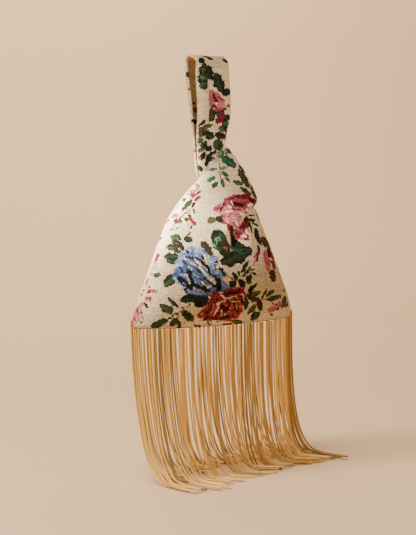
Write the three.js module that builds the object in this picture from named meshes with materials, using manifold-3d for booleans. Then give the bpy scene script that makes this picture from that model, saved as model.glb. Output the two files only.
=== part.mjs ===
import * as THREE from 'three';
import { mergeVertices } from 'three/addons/utils/BufferGeometryUtils.js';
import Module from 'manifold-3d';

// A knot bag of woven cloth: its long wrist loop passes through its short loop, and a fringe hangs
// from its oval base. Sizes in mm. Heights are measured from the base, X runs along the oval and
// the front faces -Y. The origin is the inner top of the wrist loop, where the bag hangs.

// Driving dimensions
const cloth = 2.4;
const seamGap = 0.3;
const loopTop = 270;
const baseDrop = loopTop - cloth;
const neckHeight = 88;
const neckLeft = -75;
const neckRight = 74;
const neckHalfDepth = 20.5;
const neckX = 15;
const floorHeight = -148;
const ovalSegments = 28;

// Sections of the pouch from the base to the neck: its left and right ends and its half depth
const pouchSections = [
  { at: 0, left: -107.5, right: 107.5, depth: 39.5 },
  { at: 5, left: -109, right: 109, depth: 42.5 },
  { at: 14, left: -105, right: 105.3, depth: 45.6 },
  { at: 22, left: -101.2, right: 101.9, depth: 46 },
  { at: 32, left: -97, right: 98, depth: 43.2 },
  { at: 45, left: -92.6, right: 93, depth: 37 },
  { at: 59, left: -88, right: 88, depth: 30 },
  { at: 76, left: -81, right: 80.5, depth: 23.8 },
  { at: neckHeight, left: neckLeft, right: neckRight, depth: neckHalfDepth },
];

// Where the neck divides the columns of a panel: the angle round the neck's section at neckX
const neckMiddle = (neckLeft + neckRight) / 2;
const neckHalf = (neckRight - neckLeft) / 2;
const neckAngle = Math.acos((neckMiddle - neckX) / neckHalf);
const neckDepth = neckHalfDepth * Math.sin(neckAngle);

// The short loop from the neck to its end fold: its outer edge (0), its inner edge (1), their depths,
// how much further right the outer edge runs on the back panel, and how far the middle bows outwards
const shortLoopRows = [
  {
    at: 0, x0: neckLeft, h0: neckHeight, d0: 0, x1: neckX, h1: neckHeight, d1: neckDepth,
    crown: 0, lag: 0, bow: 0,
  },
  { at: 0.12, x0: -67, h0: 102, d0: 0.3, x1: 11.5, h1: 95.5, d1: 21, crown: -1.8, lag: 0, bow: 0 },
  { at: 0.3, x0: -53.5, h0: 121, d0: 2.5, x1: 23, h1: 104, d1: 20, crown: -2.5, lag: 4, bow: 0 },
  { at: 0.55, x0: -35, h0: 142, d0: 7, x1: 38, h1: 112, d1: 16, crown: -0.8, lag: 13, bow: 1.2 },
  { at: 0.8, x0: -9, h0: 160, d0: 7.5, x1: 51.5, h1: 118.5, d1: 11, crown: 0.5, lag: 12, bow: 3 },
  { at: 1, x0: 16.5, h0: 179, d0: 7.5, x1: 62.5, h1: 123.5, d1: 8, crown: 0, lag: 0, bow: 4.2 },
];

// The wrist loop from the neck, through the short loop, to its top: left edge (0), right edge (1), depths
const wristLoopRows = [
  { at: 0, x0: neckX, h0: neckHeight, d0: neckDepth, x1: neckRight, h1: neckHeight, d1: 0, crown: 0 },
  { at: 0.04, x0: 14.5, h0: 93, d0: 13, x1: 70, h1: 98, d1: 0, crown: 0 },
  { at: 0.12, x0: 6, h0: 108, d0: 8, x1: 62.5, h1: 112, d1: 0, crown: 0 },
  { at: 0.2, x0: -8, h0: 126, d0: 4.5, x1: 47, h1: 129, d1: 1, crown: 0 },
  { at: 0.32, x0: -25.5, h0: 149, d0: 3.6, x1: 25, h1: 151, d1: 3.4, crown: 0 },
  { at: 0.46, x0: -29.5, h0: 172, d0: 4.2, x1: 9.5, h1: 172, d1: 4.2, crown: 0.5 },
  { at: 0.56, x0: -31, h0: 190, d0: 5, x1: 10.5, h1: 190, d1: 5, crown: 1 },
  { at: 0.66, x0: -31.5, h0: 207, d0: 6.8, x1: 13.8, h1: 207, d1: 6.8, crown: 1.5 },
  { at: 0.75, x0: -32.5, h0: 223, d0: 8.3, x1: 13.8, h1: 223, d1: 8.3, crown: 1.5 },
  { at: 0.9, x0: -36, h0: 252, d0: 9.5, x1: 10, h1: 252, d1: 9.5, crown: 1 },
  { at: 1, x0: -36.5, h0: loopTop - 2.5, d0: 9.5, x1: 8.5, h1: loopTop + 0.8, d1: 9.5, crown: 0 },
];

// The way outwards from the short loop's end fold, in X and height
const endFold = shortLoopRows[shortLoopRows.length - 1];
const endAside = new THREE.Vector2(endFold.h0 - endFold.h1, endFold.x1 - endFold.x0).normalize();

// The length of each loop's rounded end, as a share of its rows
const shortLoopRound = 0.12;
const wristLoopRound = 0.06;

// The rolled rim along the short loop's inner edge
const rimRoll = 4;
const rimShare = 0.13;

// Soft folds of the panels, as lines in X and height with a depth (proud if positive) and a width
const folds = [
  { x0: 35, h0: 104, x1: 25, h1: 62, depth: 3.5, width: 6 },
  { x0: 42, h0: 92, x1: 68, h1: 38, depth: -2.5, width: 8 },
  { x0: 50, h0: 90, x1: 78, h1: 40, depth: 2, width: 8 },
  { x0: 15, h0: 89, x1: 0, h1: 71, depth: -10, width: 5.5 },
  { x0: -5, h0: 100, x1: -15, h1: 74, depth: 2.5, width: 5 },
  { x0: 9, h0: 98, x1: 8, h1: 130, depth: 2.5, width: 8 },
];

// Columns and rows of a panel's grid
const shortColumns = 11;
const wristColumns = 8;
const pouchRowCount = 12;
const shortRowCount = 13;
const wristRowCount = 24;

// The fringe: its heading under the base seam, and the fall of its locks to the floor, as shares of
// the height and of how far forward, and in front sideways, each lock reaches
const headingHeight = 4;
const headingThickness = 2.2;
const headingHalfLength = 107;
const headingHalfWidth = 39;
const lockCount = 40;
const lockRadius = 2.8;
const lockSides = 6;
const lockSteps = 8;
const endReach = 74;
const frontReach = 28;
const backReach = 50;
const frontSweep = 30;
const lockFall = [
  { forward: 0, drop: 0 },
  { forward: 0.04, drop: 0.27 },
  { forward: 0.12, drop: 0.54 },
  { forward: 0.28, drop: 0.82 },
  { forward: 0.5, drop: 0.97 },
  { forward: 0.74, drop: 1 },
  { forward: 1, drop: 1 },
];

// A table's column at a place between its rows, on a smooth curve through them
function smoothAt(rows, at, column) {
  const last = rows.length - 1;
  let i = 0;
  while (i < last - 1 && at > rows[i + 1].at) i += 1;
  const slope = (k) => {
    const below = rows[Math.max(k - 1, 0)];
    const above = rows[Math.min(k + 1, last)];
    return (above[column] - below[column]) / (above.at - below.at);
  };
  const a = rows[i];
  const b = rows[i + 1];
  const span = b.at - a.at;
  const t = (at - a.at) / span;
  const rise = t * t * (3 - 2 * t);
  const leave = t * (1 - t) * (1 - t) * span * slope(i);
  const arrive = t * t * (t - 1) * span * slope(i + 1);
  return a[column] + (b[column] - a[column]) * rise + leave + arrive;
}

function smoothStep(low, high, value) {
  const t = Math.min(Math.max((value - low) / (high - low), 0), 1);
  return t * t * (3 - 2 * t);
}

// How far the folds push the cloth out at a point of the panel
function foldDepth(x, h) {
  let sum = 0;
  for (const fold of folds) {
    const dx = fold.x1 - fold.x0;
    const dh = fold.h1 - fold.h0;
    const lengthSquared = dx * dx + dh * dh;
    const t = ((x - fold.x0) * dx + (h - fold.h0) * dh) / lengthSquared;
    const away = ((x - fold.x0) * dh - (h - fold.h0) * dx) / Math.sqrt(lengthSquared);
    const ends = smoothStep(-0.25, 0.1, t) * (1 - smoothStep(0.3, 1.1, t));
    sum += fold.depth * ends * Math.exp(-((away / fold.width) ** 2));
  }
  return sum;
}

// Points of a front panel as X, depth in front of the side seams, and height
function pouchPoint(angle, h) {
  const left = smoothAt(pouchSections, h, 'left');
  const right = smoothAt(pouchSections, h, 'right');
  const x = (left + right) / 2 - ((right - left) / 2) * Math.cos(angle);
  const round = Math.sin(angle);
  const depth = smoothAt(pouchSections, h, 'depth') * round;
  return { x, depth: depth + foldDepth(x, h) * round, h };
}

// A loop's end closes in a rounded fold over the last share of its rows
function closing(at, share) {
  const t = Math.max((at - 1 + share) / share, 0);
  return Math.sqrt(Math.max(1 - t * t, 0));
}

function shortLoopPoint(angle, at, side) {
  const value = (column) => smoothAt(shortLoopRows, at, column);
  const across = (1 - Math.cos(angle)) / (1 - Math.cos(neckAngle));
  const outer = value('x0') + Math.max(side, 0) * value('lag');
  const bow = value('bow') * Math.sin(Math.PI * across);
  const x = outer + (value('x1') - outer) * across + bow * endAside.x;
  const h = value('h0') + (value('h1') - value('h0')) * across + bow * endAside.y;
  const round = Math.sin(angle) / Math.sin(neckAngle);
  const turned = Math.sin(angle);
  const roll = rimRoll * smoothStep(0.1, 0.4, at) * Math.max((across - 1 + rimShare) / rimShare, 0) ** 2;
  const crown = value('crown') * Math.sin(Math.PI * across);
  const depth = value('d0') + (value('d1') - value('d0')) * round + crown - roll;
  return { x, depth: (depth + foldDepth(x, h) * turned * (1 - at)) * closing(at, shortLoopRound), h };
}

function wristLoopPoint(angle, at) {
  const value = (column) => smoothAt(wristLoopRows, at, column);
  const across = (Math.cos(neckAngle) - Math.cos(angle)) / (Math.cos(neckAngle) + 1);
  const x = value('x0') + (value('x1') - value('x0')) * across;
  const h = value('h0') + (value('h1') - value('h0')) * across;
  const round = Math.sin(angle) / Math.sin(neckAngle);
  const fade = 1 - smoothStep(0, 0.12, at);
  const crown = value('crown') * Math.sin(Math.PI * across);
  const fold = foldDepth(x, h) * Math.sin(angle) * fade;
  const depth = value('d1') + (value('d0') - value('d1')) * round + crown + fold;
  return { x, depth: depth * closing(at, wristLoopRound), h };
}

// Rows of a loop, closer together round its end fold
function loopRows(count, share) {
  const straight = count - 3;
  const rows = [];
  for (let j = 1; j <= straight; j += 1) rows.push(((1 - share) * j) / straight);
  for (const turn of [0.5, 0.85, 1]) rows.push(1 - share + share * turn);
  return rows;
}

// The outer face of a panel: pouch rows over all columns, then each loop over its own columns
function panelSheet(side) {
  const points = [];
  const faces = [];
  const columns = shortColumns + wristColumns;
  const angleOf = (i) => {
    if (i <= shortColumns) return (neckAngle * i) / shortColumns;
    return neckAngle + ((Math.PI - neckAngle) * (i - shortColumns)) / wristColumns;
  };
  const add = ({ x, depth, h }) => {
    points.push(new THREE.Vector3(x, side * Math.max(depth, seamGap / 2), h - baseDrop));
    return points.length - 1;
  };
  const join = (lower, upper) => {
    for (let i = 0; i < lower.length - 1; i += 1) {
      const quad = [lower[i], lower[i + 1], upper[i + 1], upper[i]];
      if (side > 0) quad.reverse();
      faces.push([quad[0], quad[1], quad[2]], [quad[0], quad[2], quad[3]]);
    }
  };
  const row = (pointAt, first, last) => {
    const ids = [];
    for (let i = first; i <= last; i += 1) ids.push(add(pointAt(angleOf(i))));
    return ids;
  };

  const heights = [0, 2, 5];
  for (let j = 1; j <= pouchRowCount; j += 1) heights.push(5 + ((neckHeight - 5) * j) / pouchRowCount);
  let below = null;
  for (const h of heights) {
    const ids = row((angle) => pouchPoint(angle, h), 0, columns);
    if (below) join(below, ids);
    below = ids;
  }
  const neck = below;

  below = neck.slice(0, shortColumns + 1);
  for (const at of loopRows(shortRowCount, shortLoopRound)) {
    const ids = row((angle) => shortLoopPoint(angle, at, side), 0, shortColumns);
    join(below, ids);
    below = ids;
  }

  below = neck.slice(shortColumns);
  for (const at of [0.04, ...loopRows(wristRowCount, wristLoopRound)]) {
    const ids = row((angle) => wristLoopPoint(angle, at), shortColumns, columns);
    join(below, ids);
    below = ids;
  }
  return { points, faces };
}

// A sheet given the cloth's thickness inwards, with its edges closed
function clothGeometry({ points, faces }, side) {
  const normals = points.map(() => new THREE.Vector3());
  const edges = new Map();
  for (const [a, b, c] of faces) {
    const ab = points[b].clone().sub(points[a]);
    const normal = points[c].clone().sub(points[a]).cross(ab).negate();
    for (const k of [a, b, c]) normals[k].add(normal);
    for (const [from, to] of [[a, b], [b, c], [c, a]]) {
      const back = `${to} ${from}`;
      if (edges.has(back)) edges.delete(back);
      else edges.set(`${from} ${to}`, [from, to]);
    }
  }
  const inner = points.map((point, k) => {
    const moved = point.clone().addScaledVector(normals[k].normalize(), -cloth);
    moved.y = side * Math.max(side * moved.y, seamGap / 2);
    return moved;
  });
  const count = points.length;
  const triangles = [...faces];
  for (const [a, b, c] of faces) triangles.push([count + a, count + c, count + b]);
  for (const [from, to] of edges.values()) {
    triangles.push([to, from, count + from], [to, count + from, count + to]);
  }
  const geometry = new THREE.BufferGeometry().setFromPoints([...points, ...inner]);
  geometry.setIndex(triangles.flat());
  geometry.computeVertexNormals();
  return geometry;
}

// The oval bottom, inside the foot of the panels
function baseGeometry() {
  const inset = cloth + seamGap + 0.6;
  const oval = new THREE.Shape();
  oval.absellipse(0, 0, pouchSections[0].right - inset, pouchSections[0].depth - inset, 0, 2 * Math.PI);
  const plate = { depth: cloth, bevelEnabled: false, curveSegments: ovalSegments };
  return new THREE.ExtrudeGeometry(oval, plate).translate(0, 0, -baseDrop);
}

// Solids for joining
const wasm = await Module();
wasm.setup();

function toSolid(geometry) {
  geometry.deleteAttribute('normal');
  geometry.deleteAttribute('uv');
  const merged = mergeVertices(geometry, 1e-4);
  return new wasm.Manifold(new wasm.Mesh({
    numProp: 3,
    vertProperties: new Float32Array(merged.attributes.position.array),
    triVerts: new Uint32Array(merged.index.array),
  }));
}

function fromSolid(solid) {
  const mesh = solid.getMesh();
  const geometry = new THREE.BufferGeometry();
  geometry.setAttribute('position', new THREE.BufferAttribute(new Float32Array(mesh.vertProperties), 3));
  geometry.setIndex(Array.from(mesh.triVerts));
  geometry.computeVertexNormals();
  return geometry;
}

// The heading: a narrow oval band just under the panels
function headingGeometry() {
  const innerLength = headingHalfLength - headingThickness;
  const innerWidth = headingHalfWidth - headingThickness;
  const band = new THREE.Shape();
  band.absellipse(0, 0, headingHalfLength, headingHalfWidth, 0, 2 * Math.PI);
  const hole = new THREE.Path();
  hole.absellipse(0, 0, innerLength, innerWidth, 0, 2 * Math.PI);
  band.holes.push(hole);
  const strip = { depth: headingHeight, bevelEnabled: false, curveSegments: ovalSegments };
  return new THREE.ExtrudeGeometry(band, strip).translate(0, 0, -baseDrop - seamGap - headingHeight);
}

// One lock of the fringe, from the heading down and forward onto the floor
function lockGeometry(turn) {
  const rootHeight = -seamGap - 0.7;
  const x = (headingHalfLength - headingThickness / 2) * Math.cos(turn);
  const y = (headingHalfWidth - headingThickness / 2) * Math.sin(turn);
  const front = Math.max(-Math.sin(turn), 0) ** 1.5;
  const behind = Math.max(Math.sin(turn), 0) ** 1.5;
  const reach = endReach + (frontReach - endReach) * front + (backReach - endReach) * behind;
  const fall = rootHeight - floorHeight - lockRadius;
  const path = lockFall.map(({ forward, drop }) => new THREE.Vector3(
    x + frontSweep * front * forward,
    y - reach * forward,
    rootHeight - fall * drop - baseDrop,
  ));
  const section = new THREE.Shape();
  for (let k = 0; k <= lockSides; k += 1) {
    const angle = (2 * Math.PI * k) / lockSides;
    const corner = new THREE.Vector2(lockRadius * Math.cos(angle), lockRadius * Math.sin(angle));
    if (k === 0) section.moveTo(corner.x, corner.y);
    else section.lineTo(corner.x, corner.y);
  }
  const extrudePath = new THREE.CatmullRomCurve3(path, false, 'centripetal');
  return new THREE.ExtrudeGeometry(section, { steps: lockSteps, extrudePath });
}

function fringeGeometry() {
  let fringe = toSolid(headingGeometry());
  for (let k = 0; k < lockCount; k += 1) {
    const turn = (2 * Math.PI * (k + 0.5)) / lockCount;
    fringe = fringe.add(toSolid(lockGeometry(turn)));
  }
  return fromSolid(fringe);
}

const tapestry = new THREE.MeshStandardMaterial({ color: 0xd8c8a8, roughness: 0.9, metalness: 0 });
const goldCord = new THREE.MeshStandardMaterial({ color: 0xbe8c3c, roughness: 0.45, metalness: 0.2 });

const bag = new THREE.Group();
function addPiece(name, geometry, material) {
  const mesh = new THREE.Mesh(geometry, material);
  mesh.name = name;
  bag.add(mesh);
}

addPiece('front_panel', clothGeometry(panelSheet(-1), -1), tapestry);
addPiece('back_panel', clothGeometry(panelSheet(1), 1), tapestry);
addPiece('base_panel', baseGeometry(), tapestry);
addPiece('fringe', fringeGeometry(), goldCord);

export default bag;
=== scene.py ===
import math

import bpy
import numpy as np
from mathutils import Matrix


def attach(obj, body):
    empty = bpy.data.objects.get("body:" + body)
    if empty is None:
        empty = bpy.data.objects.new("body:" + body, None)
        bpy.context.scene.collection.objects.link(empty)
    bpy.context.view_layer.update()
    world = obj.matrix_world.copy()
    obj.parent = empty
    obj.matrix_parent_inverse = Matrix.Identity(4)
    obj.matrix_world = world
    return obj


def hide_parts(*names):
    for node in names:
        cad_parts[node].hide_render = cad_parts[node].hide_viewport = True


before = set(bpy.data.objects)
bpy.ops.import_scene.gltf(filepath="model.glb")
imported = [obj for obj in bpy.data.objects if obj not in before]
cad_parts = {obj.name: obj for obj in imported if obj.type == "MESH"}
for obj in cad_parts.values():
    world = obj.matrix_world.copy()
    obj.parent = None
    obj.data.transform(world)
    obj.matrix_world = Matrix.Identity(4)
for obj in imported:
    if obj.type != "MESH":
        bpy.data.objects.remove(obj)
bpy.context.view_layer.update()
millimetre = 0.001
print("frame loaded")

# Camera at the photo's angle. Lengths in millimetres, angles in degrees, the picture in pixels.
picture = {"width": 416, "height": 535, "focal": 1093}
camera = {"turn": 46, "away": 1120, "aside": -7.9, "height": -163.6, "pitch": 2.5}


def cameraAxes():
    turn = math.radians(camera["turn"])
    pitch = math.radians(camera["pitch"])
    level = np.array([math.sin(turn), math.cos(turn), 0])
    right = np.array([math.cos(turn), -math.sin(turn), 0])
    ahead = level * math.cos(pitch) - np.array([0, 0, math.sin(pitch)])
    place = -camera["away"] * level + camera["aside"] * right + np.array([0, 0, camera["height"]])
    return place, right, np.cross(right, ahead), ahead


def toPicture(points):
    place, right, up, ahead = cameraAxes()
    offset = points - place
    depth = offset @ ahead
    x = picture["width"] / 2 + picture["focal"] * (offset @ right) / depth
    y = picture["height"] / 2 - picture["focal"] * (offset @ up) / depth
    return np.stack([x, y], axis=-1), depth


def makeCamera():
    place, right, up, ahead = cameraAxes()
    data = bpy.data.cameras.new("photoCamera")
    data.sensor_fit = "VERTICAL"
    data.sensor_height = 36
    data.lens = picture["focal"] / picture["height"] * data.sensor_height
    obj = bpy.data.objects.new("photoCamera", data)
    bpy.context.scene.collection.objects.link(obj)
    turn = Matrix([right, up, -ahead]).transposed().to_4x4()
    obj.matrix_world = Matrix.Translation(place * millimetre) @ turn
    bpy.context.scene.camera = obj


makeCamera()
print("camera placed")


# Tables are read by a smooth curve through their rows
def table(columns, rows):
    return dict(zip(columns.split(), np.array(rows, float).T))


def smoothAt(rows, column, at):
    knots = rows["at"]
    values = rows[column]
    place = np.arange(len(knots))
    before = np.maximum(place - 1, 0)
    after = np.minimum(place + 1, len(knots) - 1)
    slopes = (values[after] - values[before]) / (knots[after] - knots[before])
    left = np.clip(np.searchsorted(knots, at, side="right") - 1, 0, len(knots) - 2)
    span = knots[left + 1] - knots[left]
    t = (at - knots[left]) / span
    rise = t * t * (3 - 2 * t)
    leave = t * (1 - t) ** 2 * span
    arrive = t * t * (t - 1) * span
    mixed = values[left] * (1 - rise) + values[left + 1] * rise
    return mixed + slopes[left] * leave + slopes[left + 1] * arrive


def smoothStep(low, high, value):
    t = np.clip((value - low) / (high - low), 0, 1)
    return t * t * (3 - 2 * t)


# The bag's cloth, in millimetres, with heights from the base: the same sections as the part's
bag = {"cloth": 2.4, "seamGap": 0.3, "baseDrop": 267.6, "stitch": 1.04}
neck = {"height": 88, "left": -75, "right": 74, "depth": 20.5, "crotch": 15}
neckMiddle = (neck["left"] + neck["right"]) / 2
neckHalf = (neck["right"] - neck["left"]) / 2
neckAngle = math.acos((neckMiddle - neck["crotch"]) / neckHalf)
crotchDepth = neck["depth"] * math.sin(neckAngle)

pouchSections = table("at left right depth", [
    (0, -107.5, 107.5, 39.5),
    (5, -109, 109, 42.5),
    (14, -105, 105.3, 45.6),
    (22, -101.2, 101.9, 46),
    (32, -97, 98, 43.2),
    (45, -92.6, 93, 37),
    (59, -88, 88, 30),
    (76, -81, 80.5, 23.8),
    (neck["height"], neck["left"], neck["right"], neck["depth"]),
])
shortLoopRows = table("at x0 h0 d0 x1 h1 d1 crown lag bow", [
    (0, neck["left"], neck["height"], 0, neck["crotch"], neck["height"], crotchDepth, 0, 0, 0),
    (0.12, -67, 102, 0.3, 11.5, 95.5, 21, -1.8, 0, 0),
    (0.3, -53.5, 121, 2.5, 23, 104, 20, -2.5, 4, 0),
    (0.55, -35, 142, 7, 38, 112, 16, -0.8, 13, 1.2),
    (0.8, -9, 160, 7.5, 51.5, 118.5, 11, 0.5, 12, 3),
    (1, 16.5, 179, 7.5, 62.5, 123.5, 8, 0, 0, 4.2),
])
wristLoopRows = table("at x0 h0 d0 x1 h1 d1 crown lip gather", [
    (0, neck["crotch"], neck["height"], crotchDepth, neck["right"], neck["height"], 0, 0, 0, 0),
    (0.04, 14.5, 93, 13, 70, 98, 0, 0, 0, 0),
    (0.12, 6, 108, 8, 62.5, 112, 0, 0, 0, 0),
    (0.2, -8, 126, 4.5, 47, 129, 1, 0, 0, 0.5),
    (0.32, -25.5, 149, 3.6, 25, 151, 3.4, 0, 1, 1.2),
    (0.46, -29.5, 172, 4.2, 9.5, 172, 4.2, 0.5, 2, 0.9),
    (0.56, -31, 190, 5, 10.5, 190, 5, 1, 2, 0.3),
    (0.66, -31.5, 207, 6.8, 13.8, 207, 6.8, 1.5, 2, 0),
    (0.75, -32.5, 223, 8.3, 13.8, 223, 8.3, 1.5, 2.8, 0),
    (0.9, -36, 252, 9.5, 10, 252, 9.5, 1, 2.6, 0),
    (1, -36.5, 267.5, 9.5, 8.5, 270.8, 9.5, 0, 0, 0),
])
folds = table("x0 h0 x1 h1 depth width", [
    (35, 104, 25, 62, 3.5, 6),
    (42, 92, 68, 38, -2.5, 8),
    (50, 90, 78, 40, 2, 8),
    (15, 89, 0, 71, -10, 5.5),
    (-5, 100, -15, 74, 2.5, 5),
    (9, 98, 8, 130, 2.5, 8),
])
foldEnds = {"start": (-0.25, 0.1), "end": (0.3, 1.1), "strapFade": 0.12}
loopEnds = {"shortRound": 0.12, "wristRound": 0.06, "rimRoll": 4, "rimShare": 0.13, "rimFrom": (0.1, 0.4)}
strapLip = {
    "share": 0.3, "edge": 0.1, "crease": 0.36, "creaseWidth": 0.06, "ripples": 2.5,
    "edgeDrop": 1.1, "creaseDrop": 0.6,
}


def foldDepth(x, h):
    total = np.zeros_like(x)
    for x0, h0, x1, h1, depth, width in zip(*folds.values()):
        length = math.hypot(x1 - x0, h1 - h0)
        along = ((x - x0) * (x1 - x0) + (h - h0) * (h1 - h0)) / length**2
        aside = ((x - x0) * (h1 - h0) - (h - h0) * (x1 - x0)) / length
        ends = smoothStep(*foldEnds["start"], along) * (1 - smoothStep(*foldEnds["end"], along))
        total += depth * ends * np.exp(-((aside / width) ** 2))
    return total


def closing(at, share):
    t = np.maximum((at - 1 + share) / share, 0)
    return np.sqrt(np.maximum(1 - t * t, 0))


def standing(x, depth, h, side):
    return np.stack([x, side * np.maximum(depth, bag["seamGap"] / 2), h - bag["baseDrop"]], axis=-1)


def pouchPoint(angle, h, side):
    left = smoothAt(pouchSections, "left", h)
    right = smoothAt(pouchSections, "right", h)
    x = (left + right) / 2 - (right - left) / 2 * np.cos(angle)
    depth = smoothAt(pouchSections, "depth", h) * np.sin(angle)
    return standing(x, depth, h + 0 * x, side)


def loopSpan(rows, at, across, outerLag):
    x0 = smoothAt(rows, "x0", at) + outerLag
    h0 = smoothAt(rows, "h0", at)
    x = x0 + (smoothAt(rows, "x1", at) - x0) * across
    h = h0 + (smoothAt(rows, "h1", at) - h0) * across
    return x, h


# The short loop, its end fold bowed outwards
def shortLoopPoint(angle, at, side):
    across = (1 - np.cos(angle)) / (1 - math.cos(neckAngle))
    x, h = loopSpan(shortLoopRows, at, across, max(side, 0) * smoothAt(shortLoopRows, "lag", at))
    endX = shortLoopRows["x1"][-1] - shortLoopRows["x0"][-1]
    endH = shortLoopRows["h1"][-1] - shortLoopRows["h0"][-1]
    bow = smoothAt(shortLoopRows, "bow", at) * np.sin(math.pi * across) / math.hypot(endX, endH)
    x = x - bow * endH
    h = h + bow * endX
    turned = np.sin(angle) / math.sin(neckAngle)
    near = smoothAt(shortLoopRows, "d0", at)
    lip = np.maximum((across - 1 + loopEnds["rimShare"]) / loopEnds["rimShare"], 0) ** 2
    roll = loopEnds["rimRoll"] * smoothStep(*loopEnds["rimFrom"], at) * lip
    crown = smoothAt(shortLoopRows, "crown", at) * np.sin(math.pi * across)
    depth = near + (smoothAt(shortLoopRows, "d1", at) - near) * turned + crown - roll
    return standing(x, depth * closing(at, loopEnds["shortRound"]), h, side)


# The wrist strap has a rolled lip along one edge with a crease behind it, and gathers into the knot
def strapRelief(across, at):
    size = strapLip
    lip = np.sin(math.pi * np.minimum(across / size["share"], 1))
    edge = np.maximum(1 - across / size["edge"], 0) ** 2
    crease = np.exp(-(((across - size["crease"]) / size["creaseWidth"]) ** 2))
    ripples = np.sin(2 * math.pi * size["ripples"] * across) * np.sin(math.pi * across)
    rolled = lip - size["edgeDrop"] * edge - size["creaseDrop"] * crease
    rolled = smoothAt(wristLoopRows, "lip", at) * rolled
    return rolled + smoothAt(wristLoopRows, "gather", at) * ripples


def wristLoopPoint(angle, at, side):
    across = (math.cos(neckAngle) - np.cos(angle)) / (math.cos(neckAngle) + 1)
    x, h = loopSpan(wristLoopRows, at, across, 0)
    turned = np.sin(angle) / math.sin(neckAngle)
    far = smoothAt(wristLoopRows, "d1", at)
    crown = smoothAt(wristLoopRows, "crown", at) * np.sin(math.pi * across)
    depth = far + (smoothAt(wristLoopRows, "d0", at) - far) * turned + crown
    depth = (depth + strapRelief(across, at)) * closing(at, loopEnds["wristRound"])
    return standing(x, depth, h, side)


def runLength(points):
    steps = np.linalg.norm(np.diff(points, axis=0), axis=1)
    return np.concatenate([[0], np.cumsum(steps)])


# Rows and columns a stitch apart
def evenSteps(values, points):
    length = runLength(points)
    count = round(length[-1] / bag["stitch"])
    return np.interp(np.linspace(0, length[-1], count + 1), length, values)


# Points along each measured curve, and the height at which columns are counted
measuring = {"columns": 400, "rows": 600, "turns": 2000, "height": 45.0}


def columnAngles(first, last):
    fine = np.linspace(first, last, measuring["columns"])
    return evenSteps(fine, pouchPoint(fine, np.full(len(fine), measuring["height"]), -1))


def loopSteps(pointAt, angle):
    fine = np.linspace(0, 1, measuring["rows"])
    return evenSteps(fine, pointAt(np.full(len(fine), angle), fine, -1))


leftAngles = columnAngles(0, neckAngle)
rightAngles = columnAngles(neckAngle, math.pi)
pouchHeights = np.linspace(0, neck["height"], round(neck["height"] / bag["stitch"]) + 1)
shortSteps = loopSteps(shortLoopPoint, neckAngle / 2)[1:]
wristSteps = loopSteps(wristLoopPoint, (neckAngle + math.pi) / 2)[1:]
neckRow = len(pouchHeights) - 1
neckEase = {"rows": 7, "columns": 8, "passes": 30, "pull": 0.7}


def strip(angles, steps, loopPoint, side):
    pouch = pouchPoint(angles[None, :], pouchHeights[:, None], side)
    loop = loopPoint(angles[None, :], steps[:, None], side)
    return np.concatenate([pouch, loop])


# Rounds the crease where a loop leaves the pouch, all but at the crotch
def easeNeck(points, crotchColumn):
    row = np.arange(points.shape[0])[1:-1, None]
    column = np.abs(np.arange(points.shape[1]) - crotchColumn)[None, :]
    near = np.exp(-(((row - neckRow) / neckEase["rows"]) ** 2))
    weight = near * smoothStep(0, neckEase["columns"], column)
    for _ in range(neckEase["passes"]):
        between = (points[:-2] + points[2:]) / 2
        points[1:-1] += weight[..., None] * (between - points[1:-1]) * neckEase["pull"]
    return points


# Presses the folds in, fading along the loop
def pressFolds(points, angles, loopFade):
    fade = np.concatenate([np.ones(neckRow + 1), loopFade])
    pressed = foldDepth(points[..., 0], points[..., 2] + bag["baseDrop"]) * np.sin(angles) * fade[:, None]
    side = np.sign(points[0, 0, 1])
    depth = np.maximum(side * points[..., 1] + pressed, bag["seamGap"] / 2)
    return np.stack([points[..., 0], side * depth, points[..., 2]], axis=-1)


# Unrolls each row from its start column, so that patterns lie on the cloth without stretching
def unroll(points, startColumn, start):
    steps = np.diff(points, axis=1)
    level = np.maximum(np.hypot(steps[..., 0], steps[..., 2]), 1e-6)
    stretch = np.linalg.norm(steps, axis=2) / level
    flatSteps = steps[..., [0, 2]] * stretch[..., None]
    run = np.concatenate([np.zeros_like(flatSteps[:, :1]), np.cumsum(flatSteps, axis=1)], axis=1)
    return run - run[:, startColumn:startColumn + 1] + start[:, None, :]


def planeOf(points):
    return points[..., [0, 2]] + np.array([0, bag["baseDrop"]])


def panelSheet(side):
    left = easeNeck(strip(leftAngles, shortSteps, shortLoopPoint, side), len(leftAngles) - 1)
    right = easeNeck(strip(rightAngles, wristSteps, wristLoopPoint, side), 0)
    left = pressFolds(left, leftAngles, (1 - shortSteps) * closing(shortSteps, loopEnds["shortRound"]))
    right = pressFolds(right, rightAngles, 1 - smoothStep(0, foldEnds["strapFade"], wristSteps))
    facing = int(np.argmin(np.abs(leftAngles - math.pi / 2)))
    leftFlat = unroll(left, facing, planeOf(left[:, facing]))
    shift = leftFlat[neckRow, -1] - planeOf(right[neckRow, 0])
    start = planeOf(right[:, 0]) + shift
    start[:neckRow + 1] = leftFlat[:neckRow + 1, -1]
    rightFlat = unroll(right, 0, start)
    leftIds = np.arange(left.shape[0] * left.shape[1]).reshape(left.shape[:2])
    isNew = np.ones(right.shape[:2], bool)
    isNew[:neckRow + 1, 0] = False
    rightIds = np.zeros(right.shape[:2], int)
    rightIds[isNew] = leftIds.size + np.arange(isNew.sum())
    rightIds[:neckRow + 1, 0] = leftIds[:neckRow + 1, -1]
    return {
        "side": side,
        "points": np.concatenate([left.reshape(-1, 3), right[isNew]]),
        "flat": np.concatenate([leftFlat.reshape(-1, 2), rightFlat[isNew]]),
        "ids": [leftIds, rightIds],
    }


def gridQuads(ids, side):
    corners = [ids[:-1, :-1], ids[:-1, 1:], ids[1:, 1:], ids[1:, :-1]]
    quads = np.stack([corner.ravel() for corner in corners], axis=1)
    return quads if side < 0 else quads[:, ::-1]


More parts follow.
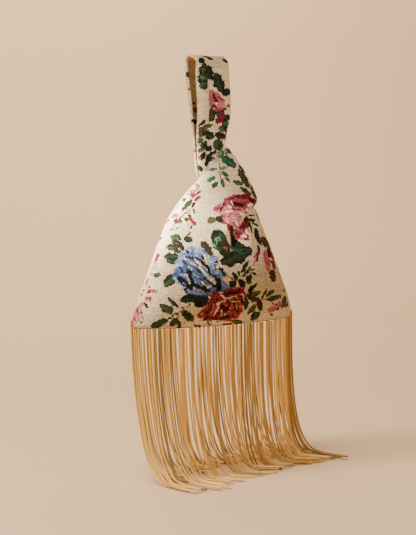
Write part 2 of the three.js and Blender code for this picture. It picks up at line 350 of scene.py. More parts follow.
# Ids of a ring, the first column again after the last
def closeRing(ids):
    return np.concatenate([ids, ids[:, :1]], axis=1)


def pointNormals(points, quads):
    across = points[quads[:, 2]] - points[quads[:, 0]]
    along = points[quads[:, 3]] - points[quads[:, 1]]
    faceNormals = np.cross(across, along)
    normals = np.zeros_like(points)
    for corner in range(4):
        np.add.at(normals, quads[:, corner], faceNormals)
    return normals / np.maximum(np.linalg.norm(normals, axis=1, keepdims=True), 1e-12)


def openEdges(quads):
    starts = quads.ravel()
    ends = np.roll(quads, -1, axis=1).ravel()
    size = quads.max() + 1
    lone = ~np.isin(starts * size + ends, ends * size + starts)
    return np.stack([starts[lone], ends[lone]], axis=1)


# A closed cloth from a sheet: its outer face, its lining a cloth's thickness inside, and the edges
def closeCloth(sheet):
    side = sheet["side"]
    byStrip = [gridQuads(ids, side) for ids in sheet["ids"]]
    outer = np.concatenate(byStrip)
    points = sheet["points"]
    normals = pointNormals(points, outer)
    inner = points - bag["cloth"] * normals
    inner[:, 1] = side * np.maximum(side * inner[:, 1], bag["seamGap"] / 2)
    count = len(points)
    edges = openEdges(outer)
    rim = np.stack([edges[:, 1], edges[:, 0], edges[:, 0] + count, edges[:, 1] + count], axis=1)
    sheet["normals"] = normals
    sheet["closed"] = np.concatenate([points, inner])
    sheet["quads"] = np.concatenate([outer, outer[:, ::-1] + count, rim])
    strips = np.repeat([0, 1], [len(quads) for quads in byStrip])
    rimStrip = (edges.max(axis=1) >= sheet["ids"][0].size).astype(int)
    sheet["strip"] = np.concatenate([strips, strips, rimStrip])
    sheet["layer"] = np.repeat([0, 1, 2], [len(outer), len(outer), len(rim)])
    sheet["faceFlat"] = sheet["flat"][sheet["quads"] % count].mean(axis=1)
    rows = [np.repeat(np.arange(len(ids) - 1), ids.shape[1] - 1) for ids in sheet["ids"]]
    low = np.concatenate(rows) < neckRow
    fromEdge = []
    for ids in sheet["ids"]:
        column = np.arange(ids.shape[1] - 1)
        fromEdge.append(np.tile(np.minimum(column, column[::-1]), len(ids) - 1) * bag["stitch"])
    fromEdge = np.concatenate(fromEdge)
    sheet["fromEdge"] = np.concatenate([fromEdge, fromEdge, np.zeros(len(rim))])
    sheet["inPouch"] = np.concatenate([low, low, sheet["faceFlat"][-len(rim):, 1] < neck["height"]])
    return sheet


panels = {"front": closeCloth(panelSheet(-1)), "back": closeCloth(panelSheet(1))}
print("panels cut:", [len(panel["quads"]) * 2 for panel in panels.values()], "triangles")


def meshPiece(name, points, faces, material):
    mesh = bpy.data.meshes.new(name)
    mesh.from_pydata((points * millimetre).tolist(), [], [list(face) for face in faces])
    mesh.polygons.foreach_set("use_smooth", np.full(len(mesh.polygons), True))
    mesh.materials.append(material)
    mesh.update()
    obj = bpy.data.objects.new(name, mesh)
    bpy.context.scene.collection.objects.link(obj)
    return obj


def addColours(mesh, name, cornerColours):
    layer = mesh.color_attributes.new(name, "FLOAT_COLOR", "CORNER")
    full = np.concatenate([cornerColours, np.ones((len(cornerColours), 1))], axis=1)
    layer.data.foreach_set("color", full.astype(np.float32).ravel())


def addUv(mesh, name, cornerPlaces):
    layer = mesh.uv_layers.new(name=name)
    layer.data.foreach_set("uv", cornerPlaces.astype(np.float32).ravel())


def linear(colour):
    share = np.asarray(colour, float) / 255
    return np.where(share <= 0.04045, share / 12.92, ((share + 0.055) / 1.055) ** 2.4)


# Shader pieces
def newGroup(name, inputs, outputs):
    group = bpy.data.node_groups.new(name, "ShaderNodeTree")
    for socket, kind in inputs:
        group.interface.new_socket(socket, in_out="INPUT", socket_type=kind)
    for socket, kind in outputs:
        group.interface.new_socket(socket, in_out="OUTPUT", socket_type=kind)
    return group, group.nodes.new("NodeGroupInput"), group.nodes.new("NodeGroupOutput")


def addNode(tree, kind, links=None, **settings):
    node = tree.nodes.new(kind)
    for name, value in settings.items():
        setattr(node, name, value)
    for socket, source in (links or {}).items():
        if isinstance(source, bpy.types.NodeSocket):
            tree.links.new(source, node.inputs[socket])
        else:
            node.inputs[socket].default_value = source
    return node


def mathNode(tree, operation, first, second=0.0):
    return addNode(tree, "ShaderNodeMath", {0: first, 1: second}, operation=operation).outputs[0]


# Plain weave with slubs: two crossing sets of threads, uneven in thickness and shade
weaving = {
    "threadsPerMillimetre": 1.0, "waver": 1.6, "slubScale": (1.1, 0.22, 1), "cloudScale": 0.035,
    "ground": 0.56, "threadShade": 0.16, "slubShade": 0.26, "cloudShade": 0.12,
    "slubHeight": 0.8, "bump": 0.35, "bumpDistance": 0.0006,
}


def weaveGroup(name):
    group, given, result = newGroup(
        name,
        [("Colour", "NodeSocketColor"), ("Place", "NodeSocketVector")],
        [("Colour", "NodeSocketColor"), ("Normal", "NodeSocketVector")],
    )
    place = given.outputs["Place"]
    waves = []
    for turn in (0.0, math.pi / 2):
        mapped = addNode(group, "ShaderNodeMapping", {"Vector": place, "Rotation": (0, 0, turn)})
        wave = addNode(group, "ShaderNodeTexWave", {
            "Vector": mapped.outputs[0],
            "Scale": weaving["threadsPerMillimetre"] / 2,
            "Distortion": weaving["waver"],
            "Detail": 1.0,
            "Detail Scale": 0.7,
        })
        slub = addNode(group, "ShaderNodeMapping", {
            "Vector": mapped.outputs[0],
            "Scale": weaving["slubScale"],
        })
        uneven = addNode(group, "ShaderNodeTexNoise", {
            "Vector": slub.outputs[0],
            "Scale": 1.0,
            "Detail": 2.0,
        })
        waves.append((wave.outputs["Fac"], uneven.outputs["Fac"]))
    thread = mathNode(group, "MAXIMUM", waves[0][0], waves[1][0])
    slubs = mathNode(group, "ADD", waves[0][1], waves[1][1])
    cloud = addNode(group, "ShaderNodeTexNoise", {
        "Vector": place,
        "Scale": weaving["cloudScale"],
        "Detail": 3.0,
    })
    shade = mathNode(group, "MULTIPLY_ADD", thread, weaving["threadShade"])
    shade.node.inputs[2].default_value = weaving["ground"]
    for spread, share in ((slubs, "slubShade"), (cloud.outputs["Fac"], "cloudShade")):
        shade = mathNode(group, "ADD", shade, mathNode(group, "MULTIPLY", spread, weaving[share]))
    tinted = addNode(group, "ShaderNodeVectorMath", {0: given.outputs["Colour"]}, operation="SCALE")
    group.links.new(shade, tinted.inputs["Scale"])
    group.links.new(tinted.outputs[0], result.inputs["Colour"])
    height = mathNode(group, "ADD", thread, mathNode(group, "MULTIPLY", slubs, weaving["slubHeight"]))
    bump = addNode(group, "ShaderNodeBump", {
        "Height": height,
        "Strength": weaving["bump"],
        "Distance": weaving["bumpDistance"],
    })
    group.links.new(bump.outputs[0], result.inputs["Normal"])
    return group


def newMaterial(name):
    material = bpy.data.materials.new(name)
    material.use_nodes = True
    tree = material.node_tree
    return material, tree, tree.nodes["Principled BSDF"]


def clothMaterial(name, weave, layer, place):
    material, tree, shader = newMaterial(name)
    colour = addNode(tree, "ShaderNodeVertexColor", layer_name=layer)
    flat = addNode(tree, "ShaderNodeUVMap", uv_map=place)
    woven = addNode(tree, "ShaderNodeGroup", node_tree=weave)
    tree.links.new(colour.outputs["Color"], woven.inputs["Colour"])
    tree.links.new(flat.outputs["UV"], woven.inputs["Place"])
    tree.links.new(woven.outputs["Colour"], shader.inputs["Base Color"])
    tree.links.new(woven.outputs["Normal"], shader.inputs["Normal"])
    shader.inputs["Roughness"].default_value = 0.86
    shader.inputs["Specular IOR Level"].default_value = 0.12
    return material


tapestry = clothMaterial("tapestry", weaveGroup("tapestryWeave"), "stitches", "flat")


# Pattern, charted from the photo: each stroke runs from one picture pixel to another
tones = {
    "cream": (214, 199, 168), "lining": (202, 186, 154), "ivory": (236, 226, 206),
    "navy": (30, 36, 58), "blue": (92, 124, 180), "lavender": (146, 168, 212), "slate": (108, 128, 170),
    "maroon": (62, 20, 30), "crimson": (128, 42, 56), "red": (152, 58, 62), "coral": (180, 88, 88),
    "rose": (164, 72, 88), "brick": (144, 64, 60), "pink": (206, 126, 134), "blush": (226, 190, 184),
    "black": (34, 36, 30), "bark": (64, 54, 36), "darkLeaf": (40, 50, 38), "leaf": (54, 70, 50),
    "teal": (42, 88, 68), "green": (80, 114, 84), "paleGreen": (118, 148, 112), "olive": (84, 80, 48),
    "brown": (128, 100, 72), "gold": (190, 152, 90), "mauve": (184, 100, 114),
}
strokeColumns = ("fromX", "fromY", "toX", "toY", "width", "tone")
# Most charts are in picture pixels; the roses were charted on enlargements of the picture
chartSheets = {
    "blueRose": {"left": 165, "top": 230, "scale": 22.4, "widen": 1},
    "redRose": {"left": 195, "top": 280, "scale": 26.13, "widen": 1},
    "pinkRose": {"left": 210, "top": 190, "scale": 20.9, "widen": 1},
}
plainSheet = {"left": 0, "top": 0, "scale": 1, "widen": 1}
# The lip of the strap turns part of each stroke away from the camera
strapSheet = {"left": 0, "top": 0, "scale": 1, "widen": 1.4}
leafCharts = {
    "blueRose": [
        (110, 165, 340, 165, 150, "leaf"), (320, 110, 345, 230, 60, "darkLeaf"),
        (150, 230, 410, 400, 150, "bark"), (330, 250, 410, 470, 100, "darkLeaf"),
        (30, 380, 260, 400, 160, "leaf"), (200, 410, 370, 540, 110, "bark"),
        (-20, 610, 320, 590, 190, "leaf"), (30, 660, 270, 740, 140, "leaf"),
        (-20, 1260, 270, 980, 240, "leaf"), (420, 190, 630, 230, 150, "darkLeaf"),
        (490, 130, 580, 40, 60, "darkLeaf"), (810, 245, 1065, 590, 180, "bark"),
        (410, 1320, 720, 1490, 130, "darkLeaf"), (330, 1590, 660, 1490, 150, "darkLeaf"),
        (800, 1470, 960, 1590, 180, "black"),
    ],
    "redRose": [
        (75, 330, 60, 720, 210, "darkLeaf"), (280, 380, 230, 670, 210, "leaf"),
        (990, 10, 980, 210, 220, "darkLeaf"), (1240, 10, 1250, 200, 180, "black"),
        (1400, -20, 1420, 120, 140, "leaf"), (1560, 120, 1390, 320, 120, "black"),
        (1350, 410, 1600, 410, 180, "olive"), (1470, 510, 1600, 550, 110, "olive"),
        (1345, 430, 1325, 780, 140, "leaf"), (1600, 660, 1375, 890, 130, "olive"),
        (1600, 820, 1480, 1070, 150, "darkLeaf"), (970, 1075, 1240, 1115, 130, "olive"),
        (650, 1225, 980, 1155, 120, "leaf"),
    ],
    "pinkRose": [
        (120, 560, 300, 670, 140, "darkLeaf"), (-60, 650, 130, 620, 140, "olive"),
        (260, 1540, 860, 1230, 340, "darkLeaf"), (940, 760, 1020, 1170, 110, "black"),
        (920, 380, 1070, 640, 80, "leaf"), (1060, 990, 1300, 1230, 190, "bark"),
    ],
    "lowerBranch": [
        (168, 298, 179, 308, 4, "darkLeaf"), (159.5, 304.5, 173, 313.5, 8, "leaf"),
        (151, 327, 168, 319.5, 7.5, "leaf"), (170, 327, 176, 318, 5, "leaf"),
        (175.5, 318, 181, 329, 5, "leaf"), (181.5, 311, 194.5, 321, 8.5, "leaf"),
        (181, 299.5, 195, 300, 7, "darkLeaf"), (183, 289.5, 192, 294.5, 3.8, "darkLeaf"),
        (192, 293, 200, 299, 6.5, "darkLeaf"), (195, 300, 204, 306.5, 6, "black"),
        (201, 295, 206, 306, 5.5, "darkLeaf"),
    ],
    "edgeSprigs": [
        (153, 276, 161, 274, 5, "leaf"), (143.5, 303, 148.5, 308, 3.8, "darkLeaf"),
        (151, 270, 153, 267, 2.2, "darkLeaf"), (155, 267, 156.5, 265, 2, "leaf"),
        (149, 277, 152.5, 272.5, 2, "darkLeaf"), (158.5, 241.5, 161, 236.5, 2.8, "darkLeaf"),
        (143, 292, 144.5, 289, 1.6, "bark"), (140.5, 296, 142.5, 293.5, 2, "darkLeaf"),
    ],
    "upperSprig": [
        (192.5, 199, 182, 211, 4.8, "darkLeaf"), (194.5, 202, 192, 207.5, 3.6, "bark"),
        (193, 208, 194.8, 214, 2.2, "darkLeaf"), (181, 200, 186, 199, 4.2, "darkLeaf"),
        (174, 223.5, 177.5, 218, 3.2, "darkLeaf"), (179.5, 218, 182, 223.5, 2.8, "darkLeaf"),
        (184.5, 221, 188, 217.5, 4, "darkLeaf"), (187.5, 215.5, 192, 217, 3.6, "darkLeaf"),
        (189.5, 227.5, 192.5, 226.5, 3, "darkLeaf"),
    ],
    "loopSprig": [
        (206, 170, 217.5, 168.7, 3.6, "teal"), (220, 168.5, 227.5, 167.8, 3.2, "green"),
        (221.5, 171.5, 228.5, 177, 4.2, "teal"), (225, 177, 230, 182, 2.8, "teal"),
        (206.5, 181.5, 216, 177, 4.2, "teal"), (212, 188, 218, 182, 4.8, "leaf"),
        (221.8, 178.5, 223.7, 187.5, 4.2, "teal"), (222, 156.5, 236.3, 167, 9, "teal"),
        (218, 157, 224.3, 151, 6.5, "green"), (227, 148, 231.5, 154, 3.8, "leaf"),
        (223, 152.4, 228, 153.4, 3, "black"), (213, 157, 215, 160, 2.6, "olive"),
    ],
    "edgeChain": [
        (238, 165, 246, 173, 2.8, "darkLeaf"), (238.5, 168.5, 249.5, 188, 6.4, "leaf"),
        (233, 181, 243.5, 184.5, 4.4, "teal"), (240, 187, 251.5, 195.5, 4.4, "leaf"),
        (251, 184.5, 255.8, 198, 4.2, "leaf"), (255.6, 194, 256.8, 199.5, 3, "olive"),
    ],
    "rightSprig": [
        (241.5, 273, 248.6, 260, 3.8, "black"), (242.7, 277, 251.5, 266.5, 3.8, "leaf"),
        (232.7, 272, 237.7, 280, 4.4, "darkLeaf"), (238, 271, 239.3, 276, 2.8, "leaf"),
        (246, 280.5, 252, 275, 5.4, "darkLeaf"), (239, 279, 244.6, 287.5, 6, "black"),
        (229.3, 285, 237, 281.5, 5.4, "darkLeaf"), (253, 272, 256, 275.2, 2.8, "darkLeaf"),
    ],
    "rightBranch": [
        (249, 292.5, 257.2, 283, 3.8, "black"), (249.5, 296.5, 261.2, 291, 4.8, "olive"),
        (246.5, 294, 252, 300, 4, "darkLeaf"), (245.4, 296.5, 246.8, 309.3, 4.8, "leaf"),
        (249, 312.5, 255.5, 304.5, 4.4, "olive"), (253, 319.5, 260, 312, 5.4, "leaf"),
        (261.5, 298.5, 267.5, 288.5, 2.2, "darkLeaf"), (266, 297, 274.4, 289.7, 3.8, "leaf"),
        (267, 300, 282.5, 296, 5.4, "leaf"), (281.5, 308, 287, 295.5, 6.4, "leaf"),
        (284.5, 307, 289.3, 303, 3.2, "leaf"), (282.8, 292, 284.7, 288.5, 2.4, "leaf"),
        (232.8, 322, 241.7, 322, 4.4, "olive"), (223.5, 325, 232, 325, 3.4, "leaf"),
        (252, 299.5, 259.5, 299, 4.4, "bark"), (258, 298, 261.3, 311, 6, "bark"),
    ],
    "rightSide": [
        (271.7, 269, 273.8, 282, 7.2, "bark"), (277, 264.3, 280.8, 278.2, 3, "teal"),
        (258, 256, 257.5, 261.5, 1.5, "darkLeaf"),
    ],
    "strapTop": [
        (204.5, 62, 204.5, 90, 8, "darkLeaf"), (218, 106, 226, 131, 7, "darkLeaf"),
        (215, 72.5, 222, 92, 7.4, "darkLeaf"), (222.8, 82, 223, 88, 3.2, "darkLeaf"),
        (214, 78, 217.5, 83, 2.6, "darkLeaf"), (222, 94.5, 230.3, 90, 5.6, "black"),
        (211.9, 107.5, 211.2, 122, 6.4, "bark"), (199.5, 58.3, 204.9, 62.6, 4.4, "black"),
        (200.6, 69.5, 206.2, 69.5, 4.2, "olive"), (207.3, 64.5, 209.4, 79.5, 3.4, "darkLeaf"),
        (199.3, 75.2, 208.8, 78.8, 6.4, "teal"), (201.3, 82.5, 208.8, 83.8, 4.2, "leaf"),
        (198.8, 85.9, 203, 85, 2.2, "teal"),
    ],
    "strapMiddle": [
        (216.2, 113.8, 221.8, 114.4, 3.4, "teal"), (217, 117.5, 218.5, 124, 3.8, "teal"),
        (223.5, 110.2, 225, 107, 4, "leaf"), (224.8, 115, 230.3, 119.8, 4.2, "darkLeaf"),
        (224, 122, 228.3, 126.3, 4.4, "teal"), (218.2, 127.3, 225.7, 131.5, 3.4, "teal"),
        (214.3, 133.8, 226.4, 137.4, 5.4, "bark"), (213, 141, 222, 149, 8.4, "leaf"),
        (197.8, 126.4, 206.6, 120.2, 2.8, "darkLeaf"), (203, 129.6, 211, 123.8, 3.4, "olive"),
        (201.4, 127.6, 203.8, 137, 3.6, "leaf"), (203.4, 130.8, 211, 138.8, 6, "darkLeaf"),
        (200, 130, 199, 143, 2.6, "olive"), (197.4, 142.6, 203.6, 138.8, 3, "teal"),
        (202.8, 147, 207.6, 140.6, 3.4, "leaf"), (197.8, 151.6, 205.6, 147.6, 3.4, "olive"),
        (203, 144, 208.6, 151, 4, "darkLeaf"), (201.6, 159.6, 206, 151.8, 3.8, "black"),
        (205.2, 167, 208.4, 153.6, 3.4, "black"), (198.8, 156, 203, 160, 3, "bark"),
        (197.8, 165.4, 202.6, 171.4, 3.6, "darkLeaf"), (210.6, 154, 217, 151.4, 2.6, "black"),
        (209.6, 160.6, 213, 156.4, 3, "darkLeaf"),
    ],
    "strapBehind": [
        (185.3, 74.8, 189.6, 74, 4.4, "leaf"), (191, 104, 195.2, 103.6, 2.2, "black"),
        (191.8, 114.6, 194.2, 114.2, 3.2, "teal"), (191, 119, 195.8, 123.8, 4.2, "darkLeaf"),
        (191.8, 128.2, 194.2, 127.8, 3.2, "leaf"), (192.8, 145.6, 197, 145, 4.4, "darkLeaf"),
    ],
}
dabCharts = {
    "pinkRose": [
        (330, 210, 560, 120, 90, "rose"), (600, 150, 820, 130, 120, "crimson"),
        (760, 160, 930, 240, 110, "crimson"), (880, 230, 960, 250, 70, "maroon"),
        (935, 270, 905, 340, 50, "crimson"), (450, 300, 780, 310, 260, "rose"),
        (110, 410, 330, 290, 110, "rose"), (130, 470, 290, 510, 100, "pink"),
        (330, 420, 740, 470, 140, "pink"), (320, 570, 640, 560, 170, "pink"),
        (440, 700, 600, 740, 130, "mauve"), (470, 830, 560, 850, 60, "brown"),
        (270, 680, 340, 690, 60, "rose"), (385, 730, 400, 800, 60, "crimson"),
        # The brown stroke below and the two strokes after it are painted shade and shadow in the fold
        # under the rose: brown shade on the fold's wall, maroon where the rose turns into the fold's
        # shade, black shadow deep in the fold.
        (730, 570, 780, 700, 90, "maroon"), (425, 800, 440, 1020, 60, "brown"),
        (450, 790, 470, 1045, 60, "maroon"), (475, 950, 500, 1070, 84, "black"),
        (720, 820, 800, 800, 90, "rose"), (700, 745, 800, 690, 80, "crimson"),
        (690, 711, 752, 961, 146, "rose"), (627, 961, 773, 1014, 84, "crimson"),
        (640, 790, 790, 740, 110, "crimson"), (570, 900, 800, 860, 110, "rose"),
        (765, 840, 800, 930, 60, "blush"), (650, 965, 790, 950, 50, "blush"),
        (550, 990, 680, 1030, 70, "mauve"), (780, 950, 792, 962, 40, "crimson"),
        (510, 290, 670, 320, 88, "maroon"), (440, 180, 620, 115, 32, "maroon"),
        (370, 215, 410, 195, 26, "maroon"), (480, 400, 640, 412, 28, "maroon"),
        (230, 420, 290, 290, 36, "maroon"), (830, 180, 880, 260, 40, "maroon"),
        (700, 130, 740, 180, 26, "black"), (800, 330, 870, 300, 60, "ivory"),
        (370, 320, 430, 360, 36, "ivory"), (330, 450, 480, 430, 30, "ivory"),
        (780, 400, 800, 440, 36, "ivory"), (690, 500, 720, 540, 36, "ivory"),
        (130, 490, 170, 520, 50, "blush"), (440, 240, 470, 300, 30, "blush"),
        (560, 630, 600, 660, 40, "slate"), (640, 480, 680, 520, 40, "ivory"),
        (380, 570, 440, 500, 30, "crimson"), (400, 640, 470, 600, 32, "coral"),
        (300, 530, 330, 570, 30, "rose"), (520, 540, 560, 500, 26, "rose"),
        (610, 580, 640, 560, 26, "rose"), (470, 380, 500, 430, 26, "crimson"),
        (700, 380, 760, 350, 40, "rose"), (740, 485, 800, 470, 30, "crimson"),
        (240, 540, 290, 560, 40, "rose"), (560, 700, 590, 730, 30, "ivory"),
        (470, 660, 500, 720, 30, "rose"), (620, 190, 760, 210, 40, "rose"),
        (700, 260, 760, 300, 34, "crimson"), (600, 850, 680, 820, 34, "pink"),
        (660, 880, 720, 910, 30, "pink"), (190, 340, 260, 320, 34, "pink"),
        (150, 400, 210, 390, 30, "crimson"), (170, 1010, 290, 1200, 320, "darkLeaf"),
        (90, 1110, 200, 970, 130, "teal"), (110, 1200, 200, 1240, 90, "teal"),
        (300, 1080, 340, 1230, 130, "bark"), (95, 920, 140, 950, 80, "darkLeaf"),
        (120, 1020, 150, 1060, 40, "paleGreen"), (180, 990, 210, 1030, 36, "paleGreen"),
        (90, 1140, 110, 1180, 36, "paleGreen"), (160, 1110, 175, 1130, 36, "black"),
        (140, 1090, 150, 1110, 26, "paleGreen"), (300, 1200, 360, 1230, 40, "brown"),
        # The first stroke below, wide and black, is partly the dark leaf and partly painted shadow in the
        # fold at the crotch.
        (350, 1010, 550, 1150, 170, "black"), (435, 1200, 480, 1230, 90, "teal"),
        (560, 1260, 770, 1245, 50, "teal"), (600, 1300, 700, 1320, 30, "teal"),
        (640, 1165, 690, 1150, 44, "bark"), (500, 1340, 640, 1390, 40, "leaf"),
        (360, 1480, 460, 1440, 50, "leaf"), (820, 535, 920, 525, 38, "black"),
        (810, 620, 930, 640, 62, "black"), (820, 670, 880, 870, 42, "black"),
        (890, 690, 1000, 745, 36, "black"), (1020, 1160, 990, 1480, 30, "black"),
        (990, 1310, 930, 1400, 52, "rose"), (960, 1430, 900, 1560, 40, "pink"),
        (1180, 1440, 1200, 1570, 110, "mauve"), (1260, 1290, 1300, 1380, 70, "maroon"),
        (1300, 1390, 1330, 1500, 60, "crimson"), (1280, 1430, 1300, 1450, 50, "blush"),
    ],
    "blueRose": [
        (540, 450, 830, 480, 160, "lavender"), (390, 590, 900, 600, 190, "lavender"),
        (290, 720, 620, 760, 130, "lavender"), (290, 910, 600, 900, 170, "blue"),
        (300, 1080, 460, 1160, 210, "blue"), (600, 800, 980, 1180, 340, "blue"),
        (1040, 640, 1150, 640, 130, "slate"), (1050, 760, 1080, 960, 170, "lavender"),
        (1130, 980, 1310, 980, 170, "slate"), (1200, 1120, 1370, 1290, 150, "slate"),
        (230, 1090, 540, 1340, 70, "lavender"), (560, 1370, 850, 1420, 100, "slate"),
        (860, 1420, 1070, 1420, 110, "slate"), (1100, 1340, 1330, 1340, 110, "slate"),
        (600, 400, 640, 520, 60, "blue"), (480, 470, 540, 560, 60, "blue"),
        (760, 560, 800, 640, 50, "blue"), (380, 520, 470, 560, 40, "blue"),
        (860, 470, 940, 540, 50, "blue"), (1060, 900, 1090, 960, 60, "blue"),
        (340, 1110, 540, 1270, 130, "navy"), (560, 960, 640, 1230, 105, "navy"),
        (640, 1230, 950, 1350, 115, "navy"), (850, 1210, 920, 1330, 110, "black"),
        (1180, 1150, 1200, 1290, 145, "black"), (1060, 1230, 1160, 1250, 80, "navy"),
        (690, 630, 860, 720, 50, "navy"), (860, 760, 980, 860, 70, "navy"),
        (960, 860, 1060, 1060, 55, "navy"), (480, 590, 600, 640, 45, "navy"),
        (500, 480, 560, 500, 40, "navy"), (590, 540, 640, 600, 32, "navy"),
        (830, 580, 950, 780, 40, "navy"), (1130, 720, 1200, 700, 40, "black"),
        (1100, 780, 1180, 790, 40, "navy"), (1150, 870, 1290, 880, 60, "black"),
        (1250, 880, 1340, 1000, 50, "black"), (1010, 1000, 1130, 1040, 34, "navy"),
        (1025, 815, 1045, 835, 36, "navy"), (740, 880, 800, 960, 36, "navy"),
        (690, 740, 760, 800, 32, "navy"), (870, 1080, 960, 1130, 36, "navy"),
        (960, 1120, 1030, 1200, 50, "navy"), (400, 680, 450, 740, 30, "navy"),
        (340, 830, 380, 930, 30, "navy"), (480, 890, 490, 960, 26, "navy"),
        (480, 830, 560, 920, 26, "navy"), (700, 1020, 830, 1130, 44, "bark"),
        (640, 1080, 720, 1180, 40, "blue"), (740, 1160, 820, 1240, 40, "blue"),
        (660, 1290, 760, 1330, 40, "blue"), (600, 1010, 620, 1060, 30, "blue"),
        (420, 1190, 460, 1230, 30, "slate"), (1090, 1330, 1130, 1310, 40, "blue"),
        (1130, 960, 1180, 950, 60, "lavender"), (700, 690, 830, 820, 58, "ivory"),
        (790, 830, 1010, 1100, 78, "ivory"), (890, 560, 930, 750, 50, "cream"),
        (440, 640, 540, 690, 44, "ivory"), (570, 730, 690, 790, 44, "ivory"),
        (540, 830, 600, 880, 40, "cream"), (490, 1050, 560, 1200, 32, "cream"),
        (650, 980, 760, 1070, 32, "cream"), (840, 1170, 960, 1290, 42, "cream"),
        (960, 1280, 1050, 1240, 40, "cream"), (1050, 1060, 1120, 1190, 50, "cream"),
        (1150, 830, 1230, 740, 54, "cream"), (1240, 790, 1340, 830, 46, "blush"),
        (840, 830, 950, 970, 50, "slate"),
    ],
    "redRose": [
        (560, 520, 1150, 520, 360, "red"), (420, 900, 1000, 820, 340, "crimson"),
        (170, 920, 470, 620, 190, "brick"), (380, 900, 590, 650, 140, "red"),
        (800, 320, 1250, 260, 150, "crimson"), (780, 300, 960, 210, 60, "red"),
        (960, 215, 1250, 205, 60, "coral"), (1240, 290, 1320, 380, 90, "red"),
        (560, 370, 640, 560, 120, "red"), (800, 800, 1010, 790, 470, "red"),
        (1230, 450, 1250, 600, 70, "crimson"), (1220, 620, 1190, 800, 60, "coral"),
        (1180, 820, 1080, 960, 110, "red"), (260, 1000, 420, 1030, 110, "brick"),
        (640, 740, 610, 980, 110, "red"), (650, 1030, 960, 1050, 70, "red"),
        (500, 600, 320, 880, 40, "maroon"), (210, 1050, 330, 970, 45, "maroon"),
        (330, 960, 500, 990, 42, "maroon"), (520, 960, 600, 1080, 50, "maroon"),
        (700, 700, 850, 760, 130, "maroon"), (730, 800, 860, 850, 60, "maroon"),
        (880, 580, 1010, 600, 46, "maroon"), (1035, 640, 1040, 740, 55, "black"),
        (910, 800, 1100, 790, 50, "black"), (1125, 690, 1110, 830, 60, "maroon"),
        (700, 1000, 900, 950, 76, "black"), (575, 905, 610, 870, 50, "black"),
        (990, 880, 1000, 950, 46, "black"), (690, 360, 840, 370, 46, "maroon"),
        (880, 340, 1190, 330, 70, "maroon"), (1160, 230, 1200, 250, 40, "maroon"),
        (1240, 500, 1250, 590, 50, "maroon"), (570, 480, 610, 560, 46, "maroon"),
        (470, 340, 550, 330, 40, "maroon"), (1080, 430, 1200, 410, 34, "maroon"),
        (950, 470, 1180, 490, 46, "red"), (655, 625, 500, 920, 46, "blush"),
        (680, 590, 820, 500, 48, "cream"), (820, 490, 1090, 420, 38, "cream"),
        (920, 550, 1180, 560, 30, "cream"), (700, 800, 700, 940, 44, "blush"),
        (760, 890, 880, 890, 28, "cream"), (850, 815, 900, 830, 30, "blush"),
        (700, 400, 760, 470, 46, "ivory"), (490, 640, 430, 920, 40, "pink"),
        (770, 610, 830, 650, 80, "coral"), (960, 640, 1000, 720, 60, "coral"),
        (920, 720, 950, 760, 60, "coral"), (1090, 660, 1100, 740, 50, "pink"),
        (880, 890, 960, 900, 60, "rose"), (1040, 840, 1080, 900, 60, "coral"),
        (880, 640, 900, 690, 40, "black"), (340, 1080, 350, 1140, 40, "black"),
        (400, 1155, 440, 1140, 30, "black"), (0, 1190, 110, 1210, 90, "red"),
        (220, 760, 330, 660, 40, "coral"), (150, 900, 200, 860, 40, "pink"),
        (560, 640, 620, 600, 46, "blush"),
    ],
    "upperSprig": [
        (187.5, 193.5, 192.8, 197.2, 2, "rose"), (190.3, 191, 193.3, 197, 2.3, "crimson"),
        (194, 195.4, 201.2, 191, 2.2, "crimson"), (195.5, 191, 198.5, 187, 2, "rose"),
        (196, 184.2, 199.2, 186.4, 2.6, "rose"), (192.5, 189.3, 194.6, 194, 1.8, "rose"),
        (195.3, 200, 199.6, 197, 3.2, "crimson"), (188.7, 210, 180.6, 217, 1.2, "bark"),
        (190.2, 209.4, 188.3, 214.5, 1.1, "bark"), (175.7, 223.3, 178.8, 222.7, 2.6, "crimson"),
        (176, 225, 178.5, 224.6, 1.6, "blush"), (189.6, 218.7, 194.3, 223.4, 4, "red"),
        (187.7, 222.8, 189.7, 228, 2, "gold"), (170.7, 230.5, 174.4, 224.2, 1.3, "olive"),
        (173.8, 229.9, 179.8, 226.2, 1.2, "olive"),
    ],
    "edgeSprigs": [
        (146, 284.5, 147.5, 279.6, 1.6, "rose"), (145.8, 288, 149.6, 286.7, 3.5, "crimson"),
        (146.8, 290.3, 155, 291.3, 3.4, "rose"), (144.3, 294, 149.5, 291.7, 3, "crimson"),
        (145.2, 298.8, 150, 298.8, 4, "rose"), (134, 318, 141, 309, 9, "pink"),
        (136.4, 307.6, 138, 314, 1.4, "crimson"), (138.4, 306.6, 142, 313.4, 1.6, "crimson"),
        (135.4, 314.6, 139.5, 320.4, 1.6, "crimson"), (139.3, 315, 143, 318.4, 1.4, "crimson"),
        (133, 318, 135.6, 319.9, 1.6, "crimson"), (139, 321, 142, 322.7, 1.6, "crimson"),
        (135, 322, 137, 325, 3, "blush"), (154.3, 262, 157.8, 255, 3.2, "crimson"),
        (162.7, 232, 164.9, 230, 1.6, "crimson"), (163.7, 226.5, 167.4, 221, 1.7, "crimson"),
        (170.7, 216, 176.4, 215.6, 4.2, "rose"), (174.7, 210, 178, 205.6, 1.6, "crimson"),
    ],
    "lowerBranch": [
        (167.3, 320.2, 182.7, 308.2, 1.3, "bark"), (182.7, 308.2, 191, 304.6, 1.3, "bark"),
        (177.8, 320.2, 177.8, 314.7, 1, "bark"), (177.8, 314.7, 181.7, 308.7, 1, "bark"),
        (163, 308, 170, 312, 0.9, "olive"), (171.3, 306, 173.5, 310, 1.6, "teal"),
        (173.5, 321, 175.3, 326, 1.6, "olive"), (184, 314, 191, 317.6, 1.8, "black"),
    ],
    "leafLights": [
        (187.8, 236.6, 189.8, 238, 1.6, "olive"), (218, 155, 220.5, 152.6, 2, "paleGreen"),
